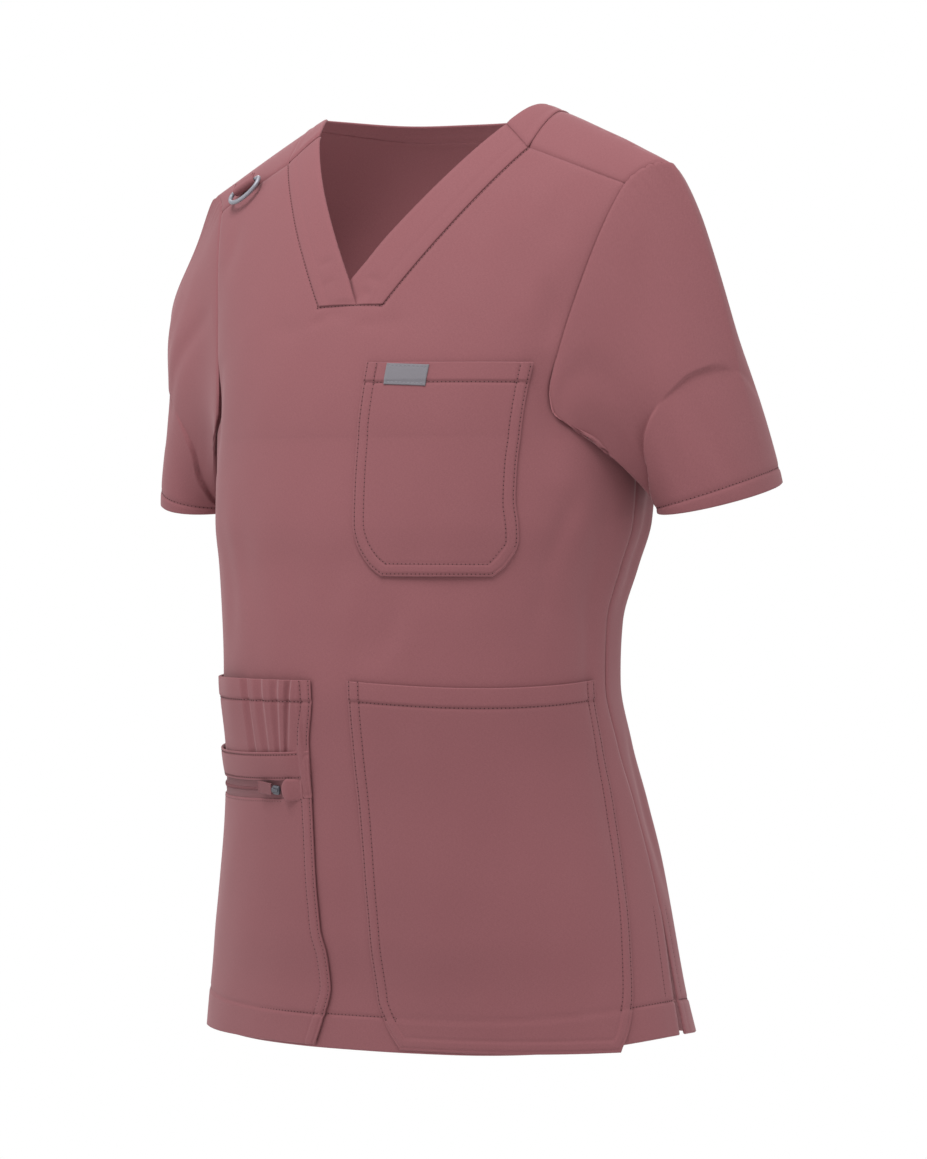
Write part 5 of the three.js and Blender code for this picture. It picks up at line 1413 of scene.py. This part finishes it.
def labelLift(turn, height):
    inner = readTable(chestPocket, "height", "inner", height)
    outer = readTable(chestPocket, "height", "outer", height)
    across = np.clip((turn - inner) / (outer - inner), 0, 1)
    low, high = chestPocket["height"][0], chestPocket["height"][-1]
    up = np.clip((height - low) / (high - low), 0, 1)
    facing = 0.45 * ease((height - high + chestPocket["facing"]) / 2)
    return layerGap + top["cloth"] + bulge(across, up, chestPocket["bulge"]) + facing + 0.15 + label["cloth"]


def makeLabel():
    across, up = np.linspace(0, 1, 60)[None, :], np.linspace(0, 1, 34)[:, None]
    turn, height = wrapPlaces((label["turn"], label["height"]), label, across, up)
    inEnds = np.minimum(across, 1 - across) * label["length"]
    inSides = np.minimum(up, 1 - up) * label["width"]
    relief = -0.25 * (1 - ease(np.minimum(inEnds, inSides) / 0.6)) + 0.15 * (1 - ease((inEnds - 1.6) / 0.5))
    relief = relief + dip(inSides - 1.5, 0.16, 0.7)
    points = bodyPoint(turn, levelAt(turn, height), labelLift(turn, height) + relief)
    piece = clothShell("blank_label", points, label["cloth"])
    rows = []
    for place in (1.5 / label["width"], 1 - 1.5 / label["width"]):
        rowTurn, rowHeight = wrapPlaces((label["turn"], label["height"]), label, np.linspace(0.05, 0.95, 60), place)
        level = levelAt(rowTurn, rowHeight)
        points = bodyPoint(rowTurn, level, labelLift(rowTurn, rowHeight) - 0.1)
        rows.append((points, outward(plainPoint, rowTurn, level)))
    return piece, repeatAlong("label_stitches", rows, repeats["stitch"], looks["label_thread"])


def garageLift(turn):
    over = slider["depth"] + 2 * seamGap
    return zipPocket["lift"] + seamGap + over * ease((garage["sewnTurn"] - turn) / garage["rise"])


def makeGarage():
    across, up = np.linspace(0, 1, 60)[None, :], np.linspace(0, 1, 50)[:, None]
    place = (garage["turn"], zipDip(zipMiddle, garage["turn"]))
    turn, height = wrapPlaces(place, garage, across, up, garage["roundEnd"])
    inSides = np.minimum(up, 1 - up) * garage["width"]
    inEnd = across * garage["length"]
    relief = -0.4 * (1 - ease(np.minimum(inEnd, inSides) / 1.4)) + 0.4 * np.sin(np.pi * up)
    relief = relief + dip((1 - across) * garage["length"] - 2, 0.35, 1.1)
    points = bodyPoint(turn, levelAt(turn, height), garageLift(turn) + relief)
    rowTurn, rowHeight = wrapPlaces(place, garage, 1 - 2 / garage["length"], np.linspace(0.06, 0.94, 40))
    sewPatch(rowTurn, rowHeight, garageLift(rowTurn) - 0.3)
    return clothShell("zip_end_tab", points, top["cloth"])


def clothFrame(turn, over, lift):  # across to the wearer's left, up the cloth, and out
    point = solidPoint(np.float64(turn), np.float64(over), lift)
    out = outward(solidPoint, np.float64(turn), np.float64(over))
    up = unit(solidPoint(turn, over + 0.004, lift) - solidPoint(turn, over - 0.004, lift))
    left = unit(np.cross(up, out))
    return {"point": point, "left": left, "up": unit(np.cross(out, left)), "out": out}


def onFrame(at, x, y, n):
    x, y, n = np.broadcast_arrays(x, y, n)
    return at["point"] + at["left"] * x[..., None] + at["up"] * y[..., None] + at["out"] * n[..., None]


def softBlock(at, middle, half, sharpness, columns=40, rows=20):  # a block with rounded edges, as a closed grid
    u = np.linspace(0, 2 * np.pi, columns + 1)[:-1][None, :]
    v = np.linspace(-np.pi / 2, np.pi / 2, rows + 1)[:, None]
    power = 2 / sharpness
    x = half[0] * signedPower(np.cos(v), power) * signedPower(np.cos(u), power)
    y = half[1] * signedPower(np.cos(v), power) * signedPower(np.sin(u), power)
    n = half[2] * signedPower(np.sin(v), power) + 0 * u
    points = onFrame(at, x + middle[0], y + middle[1], n + middle[2])
    body = points[1:-1].reshape(-1, 3)
    ids = np.arange(len(body)).reshape(rows - 1, columns)
    beside = np.roll(ids, -1, axis=1)
    faces = np.stack([ids[:-1], beside[:-1], beside[1:], ids[1:]], -1).reshape(-1, 4)
    poles = [points[0, 0], points[-1, 0]]
    low = [(len(body), beside[0, k], ids[0, k]) for k in range(columns)]
    high = [(len(body) + 1, ids[-1, k], beside[-1, k]) for k in range(columns)]
    return np.concatenate([body, poles]), [tuple(face) for face in faces.tolist()] + low + high


def joinShapes(name, shapes):
    vertices, faces = [], []
    start = 0
    for points, shapeFaces in shapes:
        vertices.append(points)
        faces += [tuple(int(k) + start for k in face) for face in shapeFaces]
        start += len(points)
    mesh = bpy.data.meshes.new(name)
    mesh.from_pydata((np.concatenate(vertices) / 1000).tolist(), [], faces)
    mesh.shade_smooth()
    piece = bpy.data.objects.new(name, mesh)
    bpy.context.scene.collection.objects.link(piece)
    return piece


def sliderFrame():
    height = zipDip(zipMiddle, np.float64(slider["turn"]))
    level = levelAt(slider["turn"], height)
    return clothFrame(slider["turn"], level, zipPocket["lift"] + top["cloth"] + seamGap)


def makeSlider(at):  # two wings and the bridge that the pull hangs on
    half, deep = slider["length"] / 2, slider["depth"]
    wings = softBlock(at, (0, 0, deep * 0.1), (half, slider["width"] / 2, deep * 0.5), 4)
    bridge = softBlock(at, (0, 0, deep * 0.72), (half * 0.86, 1.1, deep * 0.28), 3)
    nose = softBlock(at, (-half * 0.62, 0, deep * 0.6), (half * 0.36, 1.9, deep * 0.38), 2.6)
    shape = joinShapes("zip_slider_body", [wings, bridge, nose])
    shape.data.materials.append(looks["slider_metal"])
    return shape


def makePull(at):  # a woven tape folded round the slider's nose, its two ends sewn together
    far = slider["length"] / 2 + pull["noseGap"]
    long, half = pull["length"], pull["depth"] / 2
    wide = np.linspace(-0.5, 0.5, 26)[None, :] * pull["width"]
    angle = np.radians(np.linspace(90, -90, 14))
    x = np.concatenate([np.linspace(-far - long + half, -far - half, 30), -far - half + half * np.cos(angle),
                        np.linspace(-far - half, -far - long + half, 30)])
    press = half * (1 - 0.35 * np.exp(-(((x + far + long - 2.5) / 1.2) ** 2)))
    n = np.concatenate([press[:30], half * np.sin(angle), -press[44:]]) + half + pull["lift"]
    points = onFrame(at, x[:, None], wide, n[:, None])
    centre = onFrame(at, np.float64(-far - long / 2), np.float64(0), np.float64(half + pull["lift"]))
    return clothShell("zip_pull_tape", points, pull["tape"], within=centre)


ring = {
    "turn": -43,
    "over": 0.75,
    "width": 34,
    "drop": 15,
    "wire": 3,
    "corner": 5,
    "side": 1,
    "loopWidth": 22,
    "loopPlay": 0.5,
    "loopReach": 5.8,
    "loopSeam": 1.2,
}


def ringOutline(steps):
    x = ring["width"] / 2 - ring["wire"] / 2
    y = ring["drop"] - ring["wire"] / 2
    corner = ring["corner"] / 2
    bow = corner + ring["side"]
    turns = [
        (x - corner, -corner, corner, corner, 0, 90, steps // 4),
        (-x + corner, -corner, corner, corner, 90, 180, steps // 4),
        (0, -bow, x, y - bow, 180, 360, steps),
    ]
    points = []
    for centreX, centreY, radiusX, radiusY, start, end, count in turns:
        angle = np.radians(np.linspace(start, end, count + 1))
        points.append(np.stack([centreX + radiusX * np.cos(angle), centreY + radiusY * np.sin(angle)], -1))
    return np.concatenate(points)


def ringFrame():
    at = clothFrame(ring["turn"], ring["over"], layerGap + top["cloth"] + ring["loopPlay"] + ring["wire"] / 2)
    at["point"] = at["point"] - at["up"] * ring["loopReach"]
    return at


def makeRing(at):
    path = ringOutline(64)
    along = unit(np.roll(path, -1, axis=0) - np.roll(path, 1, axis=0))
    angle = np.linspace(0, 2 * np.pi, 25)[:-1]
    across = ring["wire"] / 2 * np.cos(angle)
    x = path[:, 0, None] - along[:, 1, None] * across
    y = path[:, 1, None] + along[:, 0, None] * across
    points = onFrame(at, x, y, ring["wire"] / 2 * np.sin(angle)[None, :])
    rows, columns = points.shape[:2]
    ids = np.arange(rows * columns).reshape(rows, columns)
    below, beside = np.roll(ids, -1, axis=0), np.roll(ids, -1, axis=1)
    faces = np.stack([ids, beside, np.roll(below, -1, axis=1), below], -1).reshape(-1, 4)
    return meshObject("d_ring", points.reshape(-1, 3), faces)


def makeRingLoop(at):
    radius = ring["wire"] / 2 + ring["loopPlay"] + top["cloth"]
    sewn = ring["loopReach"] - ring["loopSeam"]
    angle = np.linspace(90, 270, 24)
    bow = radius * np.cos(np.radians(angle))
    y = np.concatenate([np.linspace(sewn, 0.3, 12), bow, np.linspace(-0.3, sewn, 12)])
    n = np.concatenate([np.full(12, radius), radius * np.sin(np.radians(angle)), np.full(12, -radius)])
    x = ring["loopWidth"] * (denseNear(40, [0.06, 0.94], 0.04) - 0.5)
    inSide = ring["loopWidth"] / 2 - np.abs(x)
    pinch = 1 + (dip(inSide - 1.6, 0.3, 0.8) - 0.3 * (1 - ease(inSide / 0.7)))[None, :] / radius
    points = onFrame(at, x[None, :], y[:, None], n[:, None] * pinch)
    for side in (1, -1):
        place = side * (ring["loopWidth"] / 2 - 1.6)
        row = np.linspace(sewn, 0, 12)
        sew(onFrame(at, np.full(12, place), row, np.full(12, radius - 0.15)), np.tile(at["out"], (12, 1)))
    return clothShell("ring_keeper", points, top["cloth"], within=at["point"])


front = makeFront()
back = makeBack()
sewPanels()
print("panels made")
sleeves = [makeSleeve("left_sleeve", 1), makeSleeve("right_sleeve", -1)]
sewSleeve(1)
sewSleeve(-1)
bands = [makeFrontBand("left_neckband", 1), makeFrontBand("right_neckband", -1), makeBackBand()]
print("sleeves and bands made")
breastPocket = makeChestPocket()
leftPocket = makeHipPocket()
penPocketPiece = makePenPocket()
zipBand, zipFront, zipTapes = makeZipPocket()
zipTeeth = makeZipCoil()
blankLabel, labelStitches = makeLabel()
endTab = makeGarage()
atSlider = sliderFrame()
sliderBody = makeSlider(atSlider)
pullTape = makePull(atSlider)
atRing = ringFrame()
dRing = makeRing(atRing)
keeper = makeRingLoop(atRing)
stitches = repeatAlong("stitches", sewnLines, repeats["stitch"], looks["thread"])
# painted shade: dark dots where the needle holes hold shade
holeShadeDots = repeatAlong("hole_shade_dots", sewnLines, repeats["hole"], looks["hole_shade_dot"])
print("pockets, trim and stitches made")

# What each piece rides on, the solid that it stands for, and its finish
pieces = [
    (front, "top", "front_body", "twill"),
    (back, "top", "back_body", "twill"),
    (sleeves[0], "top", "sleeve_left", "twill"),
    (sleeves[1], "top", "sleeve_right", "twill"),
    (bands[0], "top", "neckband_front_left", "band_twill"),
    (bands[1], "top", "neckband_front_right", "band_twill"),
    (bands[2], "top", "neckband_back", "band_twill"),
    (breastPocket, "top", "chest_pocket", "pocket_twill"),
    (leftPocket, "top", "hip_pocket_left", "pocket_twill"),
    (penPocketPiece, "top", "pen_pocket_right", "pocket_twill"),
    (zipBand, "top", "zip_pocket_band", "pocket_twill"),
    (zipFront, "top", "zip_pocket_body", "pocket_twill"),
    (zipTapes, "top", "zip_tape", "zip_tape"),
    (blankLabel, "top", "pocket_label", "grey_weave"),
    (endTab, "top", "zip_garage", "pocket_twill"),
    (sliderBody, "top", "zip_slider", "grey_metal"),
    (pullTape, "pull", "zip_pull", "zip_tape"),
    (dRing, "ring", "shoulder_ring", "grey_metal"),
    (keeper, "top", "ring_loop", "band_twill"),
    (zipTeeth, "top", None, "zip_tape"),
    (labelStitches, "top", None, "grey_weave"),
    (stitches, "top", None, "twill"),
    (holeShadeDots, "top", None, "twill"),
]
for piece, body, node, slotName in pieces:
    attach(piece, body)
    if node:
        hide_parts(node)
    if not piece.data.materials:
        piece.data.materials.append(looks[slotName])

print("pieces placed:", sum(len(piece.data.polygons) for piece, *rest in pieces), "faces")

# Camera, at the photograph's viewing angle
view = {"round": 33, "away": 3.3, "height": -0.283, "lens": 146.58, "right": 0.449, "down": 0.807}
around = math.radians(view["round"])
camera = bpy.data.objects.new("camera", bpy.data.cameras.new("camera"))
bpy.context.scene.collection.objects.link(camera)
camera.location = (view["away"] * math.sin(around), -view["away"] * math.cos(around), view["height"])
camera.rotation_euler = (math.radians(90 - view["down"]), 0, math.radians(view["round"] - view["right"]))
camera.data.lens = view["lens"]
camera.data.sensor_width = 36
bpy.context.scene.camera = camera

# Floor and light
studio = {
    "floorHeight": -1.35,
    "floorRadius": 4.3,
    "floorFades": 3.0,
    "air": 0.55,
    "backdrop": 1.0,
    # turn from the camera's side, distance, height, size, power
    "lamps": [(-28, 1.3, 2.3, 1.5, 68), (-85, 2.6, 0.3, 1.8, 11), (68, 2.5, 1.0, 2.0, 19), (180, 2.4, 1.6, 1.8, 34)],
    "inside": {"place": (0.0, 0.0, -0.25), "towards": (0.01, 0.14, -0.03), "size": 0.13, "power": 0.27},
}


def makeFloor():  # a round pale floor that fades out at its rim
    steps = 96
    angle = np.linspace(0, 2 * np.pi, steps + 1)[:-1]
    rim = np.stack([np.cos(angle), np.sin(angle), 0 * angle], -1) * studio["floorRadius"]
    rim[:, 2] = studio["floorHeight"]
    mesh = bpy.data.meshes.new("floor")
    mesh.from_pydata(rim.tolist(), [], [tuple(range(steps))])
    floor = bpy.data.objects.new("floor", mesh)
    bpy.context.scene.collection.objects.link(floor)
    finish = Finish("pale_floor")
    place = finish.node("ShaderNodeTexCoord", output=3)
    level = finish.node("ShaderNodeMapping", {"vector_type": "POINT"}, {"Vector": place, "Scale": (1, 1, 0)})
    away = finish.node("ShaderNodeVectorMath", {"operation": "LENGTH"}, {0: level}, 1)
    fade = finish.node("ShaderNodeMapRange", {"clamp": True, "interpolation_type": "SMOOTHSTEP"},
                       {0: away, 1: studio["floorFades"], 2: studio["floorRadius"] - 0.05, 3: 1.0, 4: 0.0})
    tone = finish.mix(finish.noise(place, 3.0), (0.86, 0.86, 0.86, 1), (0.89, 0.89, 0.89, 1))
    finish.wear(Base_Color=tone, Roughness=0.8, Alpha=fade)
    mesh.materials.append(finish.material)


def makeLamp(name, place, towards, size, power):
    lamp = bpy.data.lights.new(name, "AREA")
    lamp.size = size
    lamp.energy = power
    light = bpy.data.objects.new(name, lamp)
    bpy.context.scene.collection.objects.link(light)
    light.location = place
    light.rotation_euler = (Vector(towards) - light.location).to_track_quat("-Z", "Y").to_euler()
    light.visible_camera = False


def makeLamps():
    for index, (turn, away, height, size, power) in enumerate(studio["lamps"]):
        angle = around + math.radians(turn)
        place = (away * math.sin(angle), -away * math.cos(angle), height - 0.3)
        makeLamp(f"soft_lamp_{index}", place, (0, 0, -0.3), size, power)
    inside = studio["inside"]  # fills the hollow, as the photograph's pale room does
    makeLamp("inside_lamp", inside["place"], inside["towards"], inside["size"], inside["power"])
    world = bpy.data.worlds.new("studio")
    world.use_nodes = True
    tree = world.node_tree
    air = tree.nodes["Background"]
    air.inputs["Color"].default_value = (1, 1, 1, 1)
    path = tree.nodes.new("ShaderNodeLightPath")
    strength = tree.nodes.new("ShaderNodeMath")
    strength.operation = "MULTIPLY_ADD"
    strength.inputs[1].default_value = studio["backdrop"] - studio["air"]
    strength.inputs[2].default_value = studio["air"]
    tree.links.new(path.outputs["Is Camera Ray"], strength.inputs[0])
    tree.links.new(strength.outputs[0], air.inputs["Strength"])
    bpy.context.scene.world = world
    bpy.context.scene.view_settings.view_transform = "Standard"


makeFloor()
makeLamps()
print("studio made")
